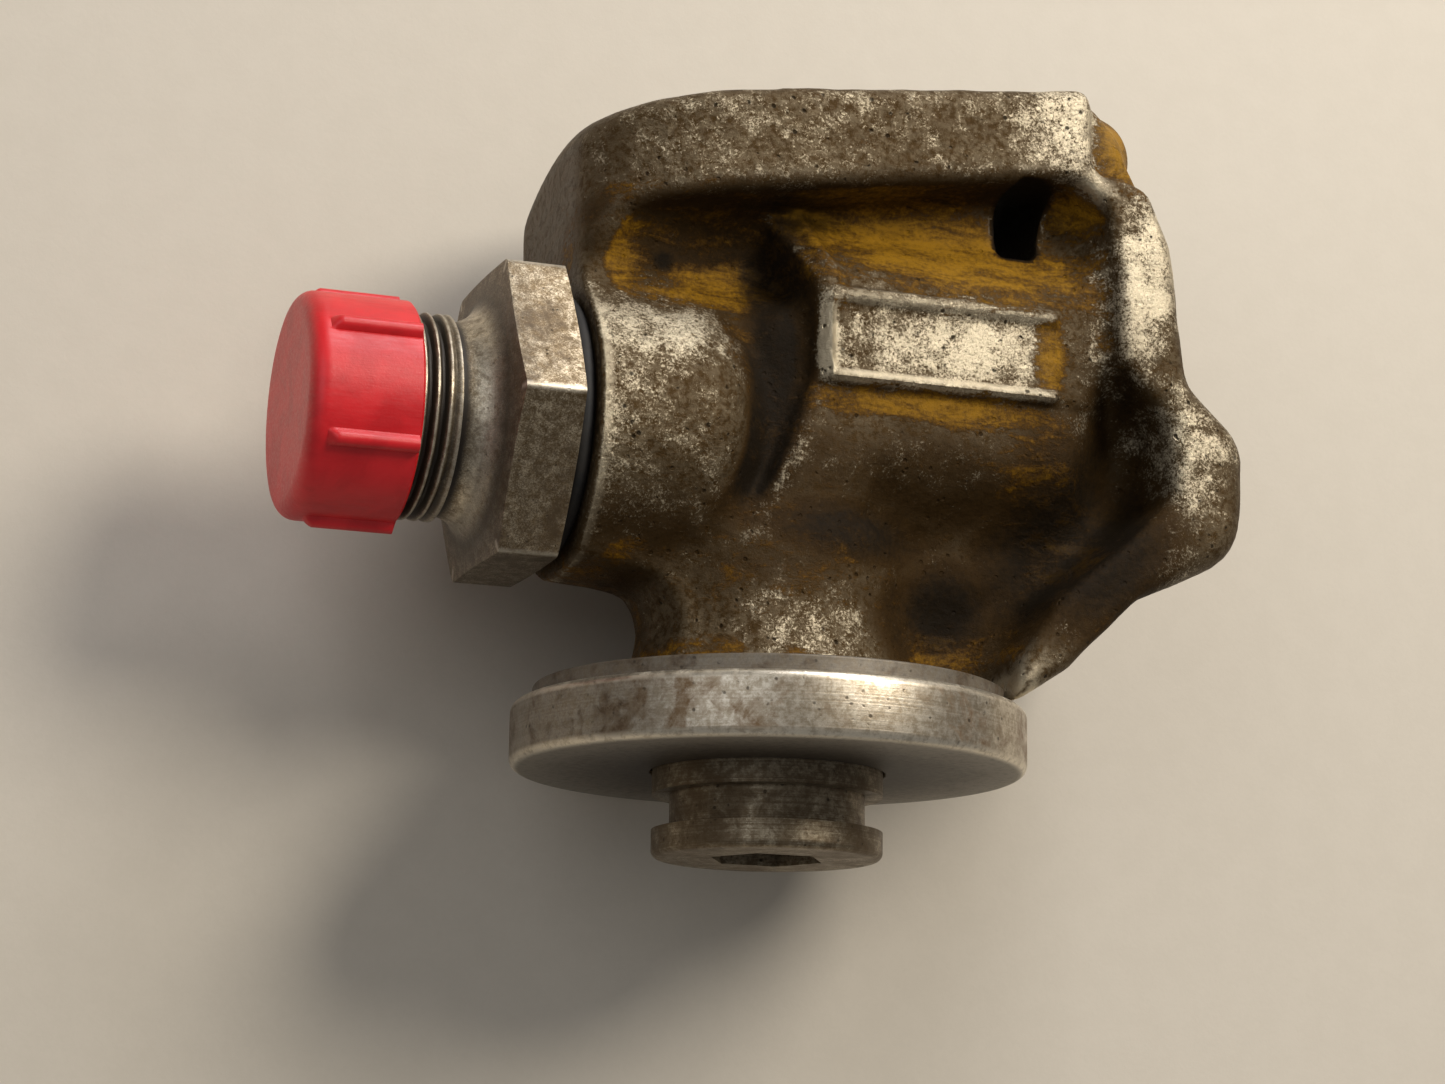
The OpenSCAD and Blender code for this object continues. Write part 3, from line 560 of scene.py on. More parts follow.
def roundedProfile(corners, step=12):
    # Corners given as x, y and radius become points, with each radius drawn as an arc
    points = []
    count = len(corners)
    for i in range(count):
        before, corner, after = (np.array(corners[(i + k) % count], float) for k in (-1, 0, 1))
        if corner[2] <= 0:
            points.append(corner[:2])
            continue
        u = before[:2] - corner[:2]
        w = after[:2] - corner[:2]
        u /= np.linalg.norm(u)
        w /= np.linalg.norm(w)
        half = math.acos(max(-1, min(1, u @ w))) / 2
        centre = corner[:2] + (u + w) / np.linalg.norm(u + w) * corner[2] / math.sin(half)
        start = corner[:2] + u * corner[2] / math.tan(half) - centre
        begin = math.atan2(start[1], start[0])
        sense = -1 if u[0] * w[1] - u[1] * w[0] > 0 else 1
        turn = sense * (math.pi - 2 * half)
        steps = max(2, math.ceil(abs(math.degrees(turn)) / step))
        angles = begin + turn * np.arange(steps + 1) / steps
        points.extend(centre + corner[2] * np.stack([np.cos(angles), np.sin(angles)], -1))
    return np.array(points)


def turnProfile(profile, around):
    # Each profile point's radius, and the angles and its distance, all the way round the axis
    angle = np.linspace(0, 2 * np.pi, around, endpoint=False)[None, :]
    return profile[:, :1] + 0 * angle, angle, profile[:, 1:] + 0 * angle


def turnedSkin(place, radius, angle, out):
    # The skin of a closed profile that goes once round its axis
    return closeSkin(place(radius, angle, out).reshape(-1, 3), gridFaces(*radius.shape, True, True))


def smoothMax(a, b, r):
    h = np.maximum(r - np.abs(a - b), 0) / r
    return np.maximum(a, b) + h * h * r / 4


def smoothMin(a, b, r):
    return -smoothMax(-a, -b, r)


def planDistance(points, low, high, step=0.25):
    # Signed distance in plan to a closed outline, kept on a fine table and read back between its points
    xs = np.arange(low[0], high[0] + step, step)
    ys = np.arange(low[1], high[1] + step, step)
    x, y = np.meshgrid(xs, ys, indexing="ij")
    best = np.full(x.shape, 1e9)
    inside = np.zeros(x.shape, bool)
    for (ax, ay), (bx, by) in zip(points, np.roll(points, -1, 0)):
        ex, ey = bx - ax, by - ay
        t = ramp(((x - ax) * ex + (y - ay) * ey) / (ex * ex + ey * ey + 1e-12))
        best = np.minimum(best, (x - ax - t * ex) ** 2 + (y - ay - t * ey) ** 2)
        if ay != by:
            inside ^= ((ay > y) != (by > y)) & (x < ex * (y - ay) / ey + ax)
    table = np.where(inside, -1, 1) * np.sqrt(best)

    def read(px, py):
        u = np.clip((px - low[0]) / step, 0, len(xs) - 1.001)
        v = np.clip((py - low[1]) / step, 0, len(ys) - 1.001)
        i, j = u.astype(int), v.astype(int)
        fu, fv = u - i, v - j
        return ((table[i, j] * (1 - fu) + table[i + 1, j] * fu) * (1 - fv)
                + (table[i, j + 1] * (1 - fu) + table[i + 1, j + 1] * fu) * fv)

    return read


def boxPlan(x, y, halfX, halfY, corner):
    dx = np.abs(x) - halfX + corner
    dy = np.abs(y) - halfY + corner
    return np.hypot(np.maximum(dx, 0), np.maximum(dy, 0)) + np.minimum(np.maximum(dx, dy), 0) - corner


forging = {
    "cell": 0.86,
    "portFace": 37.2,
    "stepFace": 40.5,
    "endInFlange": 42.6,
    "coreRadius": 38,
    "rimHeight": 24,
    "draft": 0.01,
    "wallSlope": 0.13,
    "fallStart": -6,
    "fallLength": 33.5,
    "domeRadius": 61.5,
    "domeLength": 33.2,
    "portRadius": 49,
    "webHalf": 7,
    "bossRadius": 24,
    "bossTaper": 12.5,
    "heartRadii": (14.5, 15.9),
    "neckRadius": 21.2,
    "neckHalf": 19.2,
    "neckFlare": 2.0,
    "plateauHeight": 20.5,
    "crestBend": 24.5,
    "crestSlope": 0.70,
    "ridgeHeight": 1.4,
    "plateTop": 21.6,
    "plateFloor": 20.6,
    "notch": (48.6, 47.0, 20.3),
    "bulge": (51.5, 53.5, 11),
    "bulgeRadius": 8,
    "slot": (38.5, 39.4),
    "slotHalf": (4.0, 5.6),
    "slotLean": 0.1,
    "padMiddle": 18.5,
    "padHalf": 27,
    "padCorner": 6,
    "padClear": 0.02,
    "cartridgeBores": ((16.6, -38), (15.1, -4), (13.6, 18.5)),
    "adapterBore": (20.7, -21.1),
    "passageRadius": 3.5,
    "oilWayDepth": 31.5,
    "sealGrooves": {"gallery_port": 6.5, "drain_port": 5.5},
    "sealSection": 1.8,
    "boltDepth": 16,
    "boltChamfer": 0.7,
    "hammering": 0.07,
}

stepFace = forging["stepFace"]
portFace = forging["portFace"]


def planOutline(corners):
    return planDistance(roundedProfile(corners), (-45, -50), (85, 75))


# Each corner is a place in plan and the radius that rounds it
rimOutline = planOutline([
    (-portFace, -20, 0), (-22, -24, 0), (-17, -30, 0), (-17, -stepFace - 5, 0),
    (31, -stepFace - 5, 0), (33, -43.3, 1.5), (43.4, -36.6, 7), (56, -24.2, 10), (75.7, -15.5, 11),
    (76.8, 3.5, 9), (66, 14, 5), (63.6, 36.5, 22), (49.5, 62.25, 6), (-portFace - 2, 51.3, 2),
])
recessOutline = planOutline([
    (-46, -46, 0), (33, -46, 0), (35.5, -35.5, 3), (41.8, -25.5, 8), (63.5, -7, 8), (62.2, 6, 6),
    (53.2, 15.5, 6), (53, 30, 20), (50, 46.9, 8), (-30.5, 35.0, 7), (-40, 25, 4), (-46, 14, 0),
])
plateauOutline = planOutline([
    (-5.5, 46, 0), (1, 24, 5), (1, 9, 8), (-8, -16, 0), (27, -17, 8), (45, -10, 12), (51, 10, 10),
    (58, 47, 0),
])


def bumps(x, y, z):
    # Low uneven waves left by the forging dies, as sines of three mixed directions
    sin = np.sin
    steep = sin(0.43 * x + 1.7 * sin(0.21 * y + 1)) * sin(0.37 * y + 1.5 * sin(0.27 * z + 0.19 * x))
    return (steep + 0.7 * sin(0.21 * x - 0.33 * y + 0.5) * sin(0.29 * z + 0.23 * x + 0.11 * y)
            + 0.4 * sin(0.78 * x + 2.1 * sin(0.3 * y)) * sin(0.69 * y + 2 * sin(0.33 * x + 0.4 * z)))


def portEndRadius(x):
    # The turned end's radius about the hose port's axis, smallest at the port face
    f = forging
    share = ramp((x + portFace) / f["domeLength"])
    dome = f["domeRadius"] - (f["domeRadius"] - f["portRadius"]) * (1 - share) ** 2.3
    return dome + np.maximum(x + 8, 0)


def portEndMark(x, radius):
    return ramp(1 + (radius - portEndRadius(x)) / 1.6) * ramp(-x / 6 - 1)


def rimFront(x, h):
    # How far the rim's front has run along its quarter ellipse, from 0 to almost 1, and the height left there
    run = np.clip((forging["fallStart"] - x) / forging["fallLength"], 0, 0.96) * ramp(1 + h / 6)
    return run, forging["rimHeight"] * np.sqrt(1 - run * run)


def slotPlan(x, y):
    (middleX, middleY), (halfX, halfY) = forging["slot"], forging["slotHalf"]
    lean = forging["slotLean"] * (y - middleY)
    return boxPlan(x - middleX - lean, y - middleY, halfX + lean, halfY, 1.6)


def rimForm(x, y, h):
    # The rim with its rounded front, and the recess inside it on each side of the web
    f = forging
    top = np.abs(h)
    run, band = rimFront(x, h)
    steepness = np.hypot(1, f["rimHeight"] ** 2 / f["fallLength"] * run / band)
    lobe = ramp((x - 56) / 10)
    side = rimOutline(x, y) + (top - f["rimHeight"]) * f["draft"]
    block = smoothMax(side, (top - band) / steepness, 3.2 + 3 * lobe)
    wall = recessOutline(x, y) + (band - top) * f["wallSlope"]
    web = f["webHalf"] + 3.5 * ramp((-x - 2) / 20)
    block = smoothMax(block, -smoothMax(wall, web - h, 8), 2.2 + 2.3 * lobe)
    return smoothMax(block, -smoothMax(wall, f["webHalf"] + h, 8), 3)


def bossForm(x, roundPort):
    # The port's boss, which narrows towards the middle of the valve
    taper = np.clip((x + 23) / 17, 0, 1.2)
    return smoothMax(roundPort - forging["bossRadius"] + forging["bossTaper"] * taper ** 3, x - 1, 10)


def heartForm(x, y, roundCartridge, roundPort):
    # The filled middle round both bores
    portHeart, cartridgeHeart = forging["heartRadii"]
    alongPort = smoothMax(roundPort - portHeart, x - 18, 6)
    return smoothMin(alongPort, smoothMax(roundCartridge - cartridgeHeart, np.abs(y - 2) - 21, 8), 4)


def neckForm(x, y, h):
    # The waisted neck, a little wider than it is high
    f = forging
    waist = f["neckHalf"] + f["neckFlare"] * ramp((-y - 26) / 12) ** 2
    return smoothMax(np.sqrt(x * x * (f["neckHalf"] / f["neckRadius"]) ** 2 + h * h) - waist, y + 13, 8)


def plateauForm(x, y, h, ridge):
    # The plateau, with a ridge on its left edge: it falls away above and is rounded below and on the right
    height = forging["plateauHeight"]
    edgeOn = plateauOutline(x, y)
    crest = smoothMin(height + 0 * x, height - (y - forging["crestBend"]) * forging["crestSlope"], 2)
    crest = crest + forging["ridgeHeight"] * ridge * np.exp(-((edgeOn + 2.2) / 1.5) ** 2)
    below = ramp((4 - y) / (21 + 15 * ridge))
    beside = ramp((x - 41) / 17)
    shoulder = (1 - below ** 3) ** 2 * (1 - beside ** 3) ** 2
    ledge = 1.1 * ramp((8.6 - y) / 1.4)
    lowest = forging["webHalf"] - 1.5
    crest = smoothMin(crest, lowest + (height - ledge - lowest) * shoulder, 2)
    plateau = smoothMax(edgeOn - (height - h) * 0.35, (h - crest) * 0.75, 3 - 1.6 * ridge)
    return np.maximum(plateau, -h)


def addCorner(steel, x, y, h):
    # A notch in the rim's upper corner, with a bulge in it
    (notchX, notchY, notchH), (bulgeX, bulgeY, bulgeH) = forging["notch"], forging["bulge"]
    notch = smoothMax(smoothMax(notchX - x, notchY - y, 4), notchH - h + 0.15 * (x - 49), 1.5)
    steel = smoothMax(steel, -notch, 3.5)
    bulge = np.sqrt((x - bulgeX) ** 2 + (y - bulgeY) ** 2 + (h - bulgeH) ** 2) - forging["bulgeRadius"]
    return smoothMin(steel, bulge, 3)


def addPlate(steel, x, y, h):
    # The blank plate: a block with sloping sides, and a field sunk inside its raised frame
    top, floor = forging["plateTop"], forging["plateFloor"]
    plate = smoothMax(boxPlan(x - 22.2, y - 15.5, 20.0, 7.6, 1.2) - (top - h) * 0.3, h - top, 0.9)
    steel = smoothMin(steel, np.maximum(plate, 15 - h), 1.2)
    sunk = smoothMax(boxPlan(x - 22.8, y - 15.3, 19.8, 5.5, 1.8) - (h - floor) * 0.5, floor - h, 0.6)
    return smoothMax(steel, -sunk, 0.9)


def forgingSkin(x, y, h):
    # Distance to the forging's skin: forms joined by smooth unions, then cut by the machined faces
    f = forging
    roundCartridge, roundPort = np.sqrt(x * x + h * h), np.sqrt(y * y + h * h)
    steel = smoothMin(rimForm(x, y, h), bossForm(x, roundPort), 6)
    steel = smoothMin(steel, heartForm(x, y, roundCartridge, roundPort), 6)
    steel = smoothMin(steel, neckForm(x, y, h), 6)
    ridge = ramp((12 - x) / 8)
    fillet = 5 - 2.8 * ridge + 5 * ramp((x - 15) / 20)
    steel = addCorner(smoothMin(steel, plateauForm(x, y, h, ridge), fillet), x, y, h)
    pad = smoothMax(boxPlan(x - f["padMiddle"], y, f["padHalf"], f["padHalf"], f["padCorner"]), h + 6, 2)
    steel = smoothMin(steel, pad, 5) + f["hammering"] * bumps(x, y, h)
    steel = addPlate(steel, x, y, h)
    # The slot through the web, the port's face and turned end, the pad's face, and the core inside the flange
    steel = smoothMax(steel, -slotPlan(x, y), 0.7)
    steel = smoothMax(steel, -portFace - x, 1.2)
    steel = smoothMax(steel, (roundPort - portEndRadius(x)) * 0.8, 3)
    steel = np.maximum(steel, f["padClear"] - axisHeight - h)
    steel = np.maximum(steel, -np.maximum(y + stepFace, roundCartridge - f["coreRadius"]))
    return np.maximum(steel, -y - f["endInFlange"])


def forgingField(x, y, h):
    # The skin with bores, drillings, seal grooves and bolt holes taken out as plain cylinders
    f = forging
    z = h + axisHeight
    roundCartridge, roundPort = np.sqrt(x * x + h * h), np.sqrt(y * y + h * h)
    cuts = [np.maximum(roundCartridge - radius, y - end) for radius, end in f["cartridgeBores"]]
    cuts.append(np.maximum(roundPort - f["adapterBore"][0], x - f["adapterBore"][1]))
    # Two passages from the port's chamber to the ring gallery
    for side in (-5, 5):
        cuts.append(np.maximum(np.hypot(y + 8.5, h + side) - f["passageRadius"], np.abs(x + 15) - 7))
    section = f["sealSection"]
    for name, groove in f["sealGrooves"].items():
        port = mounts[name]
        away = np.hypot(x, y - port["pos_m"][1] / mm)
        cuts.append(np.maximum(away - port["dims"]["r_mm"], z - f["oilWayDepth"]))
        cuts.append(np.maximum(np.abs(away - groove) - section / 2 - 0.2, z - section - 0.15))
    pattern = mounts["pad_bolts"]["dims"]
    acrossX = np.abs(x - mounts["pad_bolts"]["pos_m"][0] / mm) - pattern["spacing_x_mm"] / 2
    bolt = np.hypot(acrossX, np.abs(y) - pattern["spacing_y_mm"] / 2) - pattern["hole_r_mm"]
    cuts.append(np.maximum(bolt, z - f["boltDepth"]))
    cuts.append(np.maximum(bolt - (f["boltChamfer"] - z), z - 1))
    steel = forgingSkin(x, y, h)
    for cut in cuts:
        steel = np.maximum(steel, -cut)
    return steel


def contour(field, low, high, cell):
    # Dual contouring: each cell that the skin crosses gets one point, placed where the planes
    # of its edges' crossings meet best, and each crossed edge joins its four cells in one face
    low = np.asarray(low, float)
    counts = np.ceil((np.asarray(high) - low) / cell).astype(int) + 1
    axes = [(low[k] + cell * np.arange(counts[k])) for k in range(3)]
    values = field(axes[0][:, None, None], axes[1][None, :, None], axes[2][None, None, :])
    inside = values < 0
    unit = np.eye(3, dtype=int)
    allPoints, allNormals, allCells = [], [], []
    for axis in range(3):
        lower = [slice(None)] * 3
        upper = [slice(None)] * 3
        lower[axis], upper[axis] = slice(None, -1), slice(1, None)
        where = np.argwhere(inside[tuple(lower)] != inside[tuple(upper)])
        start = values[tuple(where.T)]
        stop = values[tuple((where + unit[axis]).T)]
        near = np.zeros(len(where))
        far = np.ones(len(where))
        share = start / (start - stop)
        for _ in range(2):
            point = low + cell * (where + share[:, None] * unit[axis])
            here = field(*point.T)
            sameSide = (here < 0) == (start < 0)
            near, start = np.where(sameSide, share, near), np.where(sameSide, here, start)
            far, stop = np.where(sameSide, far, share), np.where(sameSide, stop, here)
            share = near + (far - near) * ramp(start / (start - stop + 1e-12))
        point = low + cell * (where + share[:, None] * unit[axis])
        reach = 0.02
        normal = np.stack([field(*(point + reach * unit[k]).T) - field(*(point - reach * unit[k]).T)
                           for k in range(3)], -1)
        normal /= np.linalg.norm(normal, axis=1, keepdims=True) + 1e-12
        second, third = unit[(axis + 1) % 3], unit[(axis + 2) % 3]
        corners = [where - second - third, where - third, where, where - second]
        cells = np.stack([np.ravel_multi_index(corner.T, counts) for corner in corners], -1)
        startsInside = inside[tuple(where.T)]
        cells = np.where(startsInside[:, None], cells, cells[:, ::-1])
        allPoints.append(point)
        allNormals.append(normal)
        allCells.append(cells)
    points = np.concatenate(allPoints)
    normals = np.concatenate(allNormals)
    cells = np.concatenate(allCells)
    ids, faces = np.unique(cells, return_inverse=True)
    faces = faces.reshape(-1, 4)
    owner = faces.ravel()
    p = np.repeat(points, 4, 0)
    n = np.repeat(normals, 4, 0)

    def gather(weights):
        return np.bincount(owner, weights, len(ids))

    number = np.bincount(owner, minlength=len(ids))
    centre = np.stack([gather(p[:, k]) for k in range(3)], -1) / number[:, None]
    pull = np.einsum("ij,ij->i", n, p - centre[owner])
    matrix = np.stack([np.stack([gather(n[:, a] * n[:, b]) for b in range(3)], -1) for a in range(3)], -1)
    target = np.stack([gather(n[:, k] * pull) for k in range(3)], -1)
    moved = np.linalg.solve(matrix + 0.05 * np.eye(3), target[:, :, None])[:, :, 0]
    corner = low + cell * np.stack(np.unravel_index(ids, counts), -1)
    vertices = np.clip(centre + moved, corner, corner + cell)
    return vertices, faces


# Soft spots on the forging's front: middle in plan, half length, half width, turn in degrees and strength
finishSpots = {
    "paint": [
        (24, 33, 30, 10, -8, 1.0), (2, 35, 8, 7, 0, 0.95), (-32, 27, 7, 8, 20, 0.95),
        (-14, 24, 15, 5, 10, 0.85), (49, 44, 8, 7, 0, 0.8), (55, 49, 4, 8, 0, 0.6),
        (22, 5, 24, 3, 0, 0.95), (41.5, 16, 3.5, 8, 0, 0.95), (54, 54, 5, 8, 0, 1.1),
        (47, -16, 8, 11, 0, 0.5), (40, -4, 11, 9, 0, 0.45), (-18, -37.5, 10, 3.4, 0, 0.6),
        (0, -38, 12, 2.4, 0, 0.45), (28, -33, 11, 5, 0, 0.5), (-33, -22, 5, 6, 0, 0.55),
        (3, 27, 3, 10, 10, 0.4), (-18, 33, 16, 4, 14, 0.45), (52, 22, 5, 8, 0, 0.35),
        (-6, 2, 6, 8, 0, 0.35), (-12, 14, 6, 10, 0, 0.35), (-4, -22, 20, 12, 0, 0.30),
        (-30, -14, 8, 8, 0, 0.35),
    ],
    "rimPaint": [(68, 15, 4, 3.5, 0, 0.75), (-32, 36, 8, 3, 20, 0.40), (56, 52, 5, 9, 0, 0.9)],
    # The spots of grime are partly dirt and partly painted shade: under the rim's top, in the right rim's
    # shadow on the web, in the crease and in the pocket beside the neck
    "grimeAndShade": [
        (8, -16, 18, 6, 0, 1.25), (54, 6, 8, 20, 0, 0.5), (27, -26, 10, 9, 0, 1.25),
        (18, -28, 8, 10, 0, 0.8), (-12, 37, 26, 4, 8, 0.55), (22, 43, 34, 3, 8, 0.45),
        (-23, 27.4, 2.2, 2, 0, 1.3), (48, -18, 18, 15, 30, 1.25), (-27, -18, 14, 8, 0, 0.55),
        (24, -6, 30, 10, 0, 0.6), (-6, -20, 24, 9, 0, 0.52), (3, -6, 12, 9, 0, 0.55),
        (45, -6, 14, 14, 0, 0.9), (-16, 31, 18, 6, 8, 0.75), (-24, -6, 18, 12, 0, 0.06),
    ],
    # The valley spots are painted shadow of the ridge, with some dirt
    "valley": [
        (-5, 14, 6, 26, 0, 1.3), (-12, 12, 6, 16, 0, 0.5), (-9, -5, 7, 14, -12, 1.1),
        (-14, -12, 8, 7, 0, 0.7),
    ],
    # The spots of bare steel are partly painted highlight, on the boss's top and the rim's right side
    "bare": [
        (45, 54, 14, 9, 0, 0.66), (0, 50, 46, 9, 6, 0.22), (60, 34, 8, 28, -20, 0.74),
        (66, 2, 9, 12, 0, 0.45), (-27, 14, 17, 10, 0, 0.52), (-27, -2, 16, 22, 0, 0.26),
        (22, 15.5, 22, 8, 0, 0.58), (0, -33, 13, 8, 0, 0.42), (62, -20, 8, 6, 45, 0.25),
        (20, -4, 22, 4, 0, 0.12),
    ],
    "ridge": [(-3, 30, 8, 2.6, 110, 0.6), (0.8, 14, 9, 2.6, 90, 0.8), (-4, -6, 12, 2.6, 66, 0.45)],
}


def softSpots(x, y, kind):
    # The strongest of several ellipses that fade from their middle to their edge
    best = np.zeros_like(x)
    for middleX, middleY, halfLong, halfWide, turn, strength in finishSpots[kind]:
        cosine, sine = math.cos(math.radians(turn)), math.sin(math.radians(turn))
        along = ((x - middleX) * cosine + (y - middleY) * sine) / halfLong
        across = ((y - middleY) * cosine - (x - middleX) * sine) / halfWide
        best = np.maximum(best, strength * ramp(1.4 - np.hypot(along, across)))
    return best


def skinSlope(points, reach=0.15):
    # The field's slope at each point: its steepness and the unit direction out of the steel
    slope = np.stack([forgingField(*(points + reach * unit).T) - forgingField(*(points - reach * unit).T)
                      for unit in np.eye(3)], -1) / (2 * reach)
    steep = np.linalg.norm(slope, axis=1) + 1e-9
    return steep, slope / steep[:, None]


def forgingMarks(points):
    # How hollow each point is, how near an edge, and its share of paint, of grime and painted shade, of bare
    # steel and painted highlight, and of ground steel
    x, y, h = points.T
    steep, normal = skinSlope(points)
    cavity = sum(share * ramp(1 - forgingSkin(*(points + away * normal).T) / (away * steep))
                 for away, share in ((2, 0.3), (6, 0.35), (14, 0.35)))
    edge = sum(share * ramp(1 + forgingSkin(*(points - deep * normal).T) / (deep * steep))
               for deep, share in ((1.5, 0.5), (3.5, 0.5)))
    front = ramp(0.5 + h / 4)
    offPad = ramp((h + axisHeight) / 0.4)
    behind = (1 - front) * ramp(-recessOutline(x, y) / 6) * offPad
    onPort = ramp(1 - (x + portFace) / 0.6)
    ground = np.maximum.reduce([onPort, 1 - offPad, portEndMark(x, np.hypot(y, h))])
    # Paint keeps off the rim's worn front, and the slot's inside is painted black as shade
    below = ramp((rimFront(x, h)[1] - 1.5 - h) / 1.5)
    paint = front * np.maximum(below * softSpots(x, y, "paint"), softSpots(x, y, "rimPaint"))
    paintedSlotShade = 1.8 * ramp(1 - slotPlan(x, y) / 0.5)
    # The valley left of the plateau is darkened by painted shadow of the ridge and some dirt, and the
    # plateau's ridge is rubbed bare
    valley = ramp((21 - h) / 2) * softSpots(x, y, "valley")
    grimeAndShade = front * np.maximum(softSpots(x, y, "grimeAndShade"), valley) + 0.3 * behind
    fall = forging["crestSlope"] * np.maximum(y - forging["crestBend"], 0) + 0.06 * np.maximum(-y, 0) ** 1.5
    rubbed = ramp((h - forging["plateauHeight"] + fall + 1.8) / 1.2) * softSpots(x, y, "ridge")
    return {
        "cavity": cavity,
        "edge": edge,
        "ground": ground,
        "paint": paint + 0.45 * behind - paintedSlotShade,
        "grimeAndShade": np.maximum(grimeAndShade, paintedSlotShade),
        "bare": 0.16 + front * (softSpots(x, y, "bare") + rubbed) + 0.2 * (1 - front),
    }


def buildForging():
    low = (-portFace - 1.2, -stepFace - 4, -axisHeight - 1.2)
    high = (79, 70, 26.5)
    vertices, faces = contour(forgingField, low, high, forging["cell"])
    points = vertices + np.array([0, 0, axisHeight])
    piece = makeMesh("forging", points, faces, forgedSteel, "valve_body", 42, forgingMarks(vertices))
    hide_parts("body")


print("forging")
buildForging()


flange = {
    "edge": 1.6,
    "face": 53.8,
    "back": 43.3,
    "stepRadius": 38.5,
    "bore": 16.6,
    "sealBore": (18.3, 49.6),
    "noseBore": (19.1, 51.4),
}


def flangeMarks(points):
    # Dirt on the outer face, most of it round the nose, and in the corner behind the flange; the left end
    # darkened by stain and painted shade; outer edges worn bright, partly as a painted highlight
    f = flange
    away, outward = axisPlace(points, 1)
    nearNose = ramp((26 - away) / 8)
    face = ramp((outward - f["face"] + 0.5) / 0.5) * (0.56 + 0.3 * nearNose)
    corner = 0.6 * ramp(1 - np.abs(outward - f["back"]) / 0.8) * (away < f["stepRadius"] + 1.5)
    step = 0.55 * (away < f["stepRadius"] + 0.1) * (outward < f["back"])
    # The left end is darkened by stain and painted shade
    left = 0.42 * ramp((-points[:, 0] - 22) / 12)
    edges = np.minimum(np.abs(outward - f["back"]), np.abs(outward - f["face"]))
    # Outer edges worn bright, partly a painted highlight
    wornAndHighlight = ramp(1.3 - edges / 1.3) * ramp(away - 39.6) * (away < flangeRadius - 0.01)
    return {"grimeAndShade": np.maximum.reduce([face, corner, step, left * (1 - wornAndHighlight)]), "wornAndHighlight": wornAndHighlight}


def buildFlange():
    f = flange
    (sealRadius, sealSeat), (noseRadius, noseSeat) = f["sealBore"], f["noseBore"]
    profile = roundedProfile([
        (f["bore"], stepFace, 0), (f["stepRadius"], stepFace, 0.4), (f["stepRadius"], f["back"], 0.3),
        (flangeRadius, f["back"], f["edge"]), (flangeRadius, f["face"], f["edge"]),
        (noseRadius, f["face"], 0.2), (noseRadius, noseSeat, 0), (sealRadius, noseSeat, 0),
        (sealRadius, sealSeat, 0), (f["bore"], sealSeat, 0),
    ], 15)
    points, faces = turnedSkin(outwardY, *turnProfile(profile, 288))
    piece = makeMesh("flange", points, faces, flangeSteel, "valve_body", 35, flangeMarks(points))
    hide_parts("body")


buildFlange()


adapter = {
    "acrossFlats": 47.6,
    "cornerCut": 26.4,
    "chamfer": 4.4,
    "studRadius": 20.6,
    "studEnd": 22.6,
    "neckRadius": 19.2,
    "neckStart": 36.4,
    "hexBack": 40.1,
    "hexFront": 50.6,
    "flareBack": 21.8,
    "flareFront": 15.57,
    "threadStart": 57.0,
    "threadEnd": 76.0,
    "threadRadius": 16.67,
    "pitch": 2.117,
    "threadDepth": 1.28,
    "rowsPerPitch": 12,
    "bore": 11.0,
    "screenBore": (14.45, 28.6),
    "noseEnd": 79.2,
}


def hexRadius(angle):
    # Distance from the axis to the hexagon's side at an angle, with a slightly rounded corner at angle zero
    half = adapter["acrossFlats"] / 2
    flat = half / np.cos(np.mod(angle, math.pi / 3) - math.pi / 6)
    return smoothMin(flat, half / math.cos(math.pi / 6) - 0.2 + 0 * flat, 0.4)


def threadRadius(angle, out):
    # A symmetrical 60 degree groove with a flat crest and a round root, wound once round for each pitch
    a = adapter
    along = (out - a["threadStart"]) / a["pitch"]
    phase = np.mod(along + angle / (2 * math.pi), 1)
    groove = ramp((np.abs(phase - 0.5) - 0.10) / 0.32)
    groove = groove * groove * (3 - 2 * groove) * 0.35 + groove * 0.65
    fade = ramp(along - 0.6 / a["pitch"])
    tip = ramp((a["threadEnd"] - out) / 1.1)
    return a["threadRadius"] - np.maximum(a["threadDepth"] * (1 - groove) * fade, 1.45 * (1 - tip))


def adapterProfile():
    # The turned profile's parts in order, each a list of radius and distance outwards
    a = adapter
    back, front, start, end = a["hexBack"], a["hexFront"], a["threadStart"], a["threadEnd"]
    studEnd, stud, neck, nose = a["studEnd"], a["studRadius"], a["neckRadius"], a["noseEnd"]
    screenRadius, screenSeat = a["screenBore"]
    # The hexagon's ends are very flat cones
    cone = [(a["cornerCut"] + a["chamfer"] * (t - 0.75), a["chamfer"] * t * 0.1)
            for t in np.linspace(0, 1, 13)]
    flareStart = front + 0.25
    sweep = np.linspace(0, math.pi / 2, 11)
    rows = int((end - start) / a["pitch"] * a["rowsPerPitch"])
    return {
        "inside": [(a["bore"], nose), (a["bore"], screenSeat), (screenRadius, screenSeat),
                   (screenRadius, studEnd)],
        "stud": [(stud - 1, studEnd), (stud, studEnd + 1), (stud, a["neckStart"] - 0.4),
                 (neck, a["neckStart"]), (neck, back)],
        "hexagon": [(r, back + t) for r, t in cone] + [(r, front - t) for r, t in reversed(cone)],
        "flare": [(a["flareFront"] + (a["flareBack"] - a["flareFront"]) * (1 - math.sin(t)),
                   flareStart + (start - flareStart) * (1 - math.cos(t))) for t in sweep],
        "thread": [(a["threadRadius"], out) for out in np.linspace(start + 0.3, end, rows)],
        "nose": [(14.67, end + 0.1), (12.26, nose - 0.3), (12.0, nose)],
    }


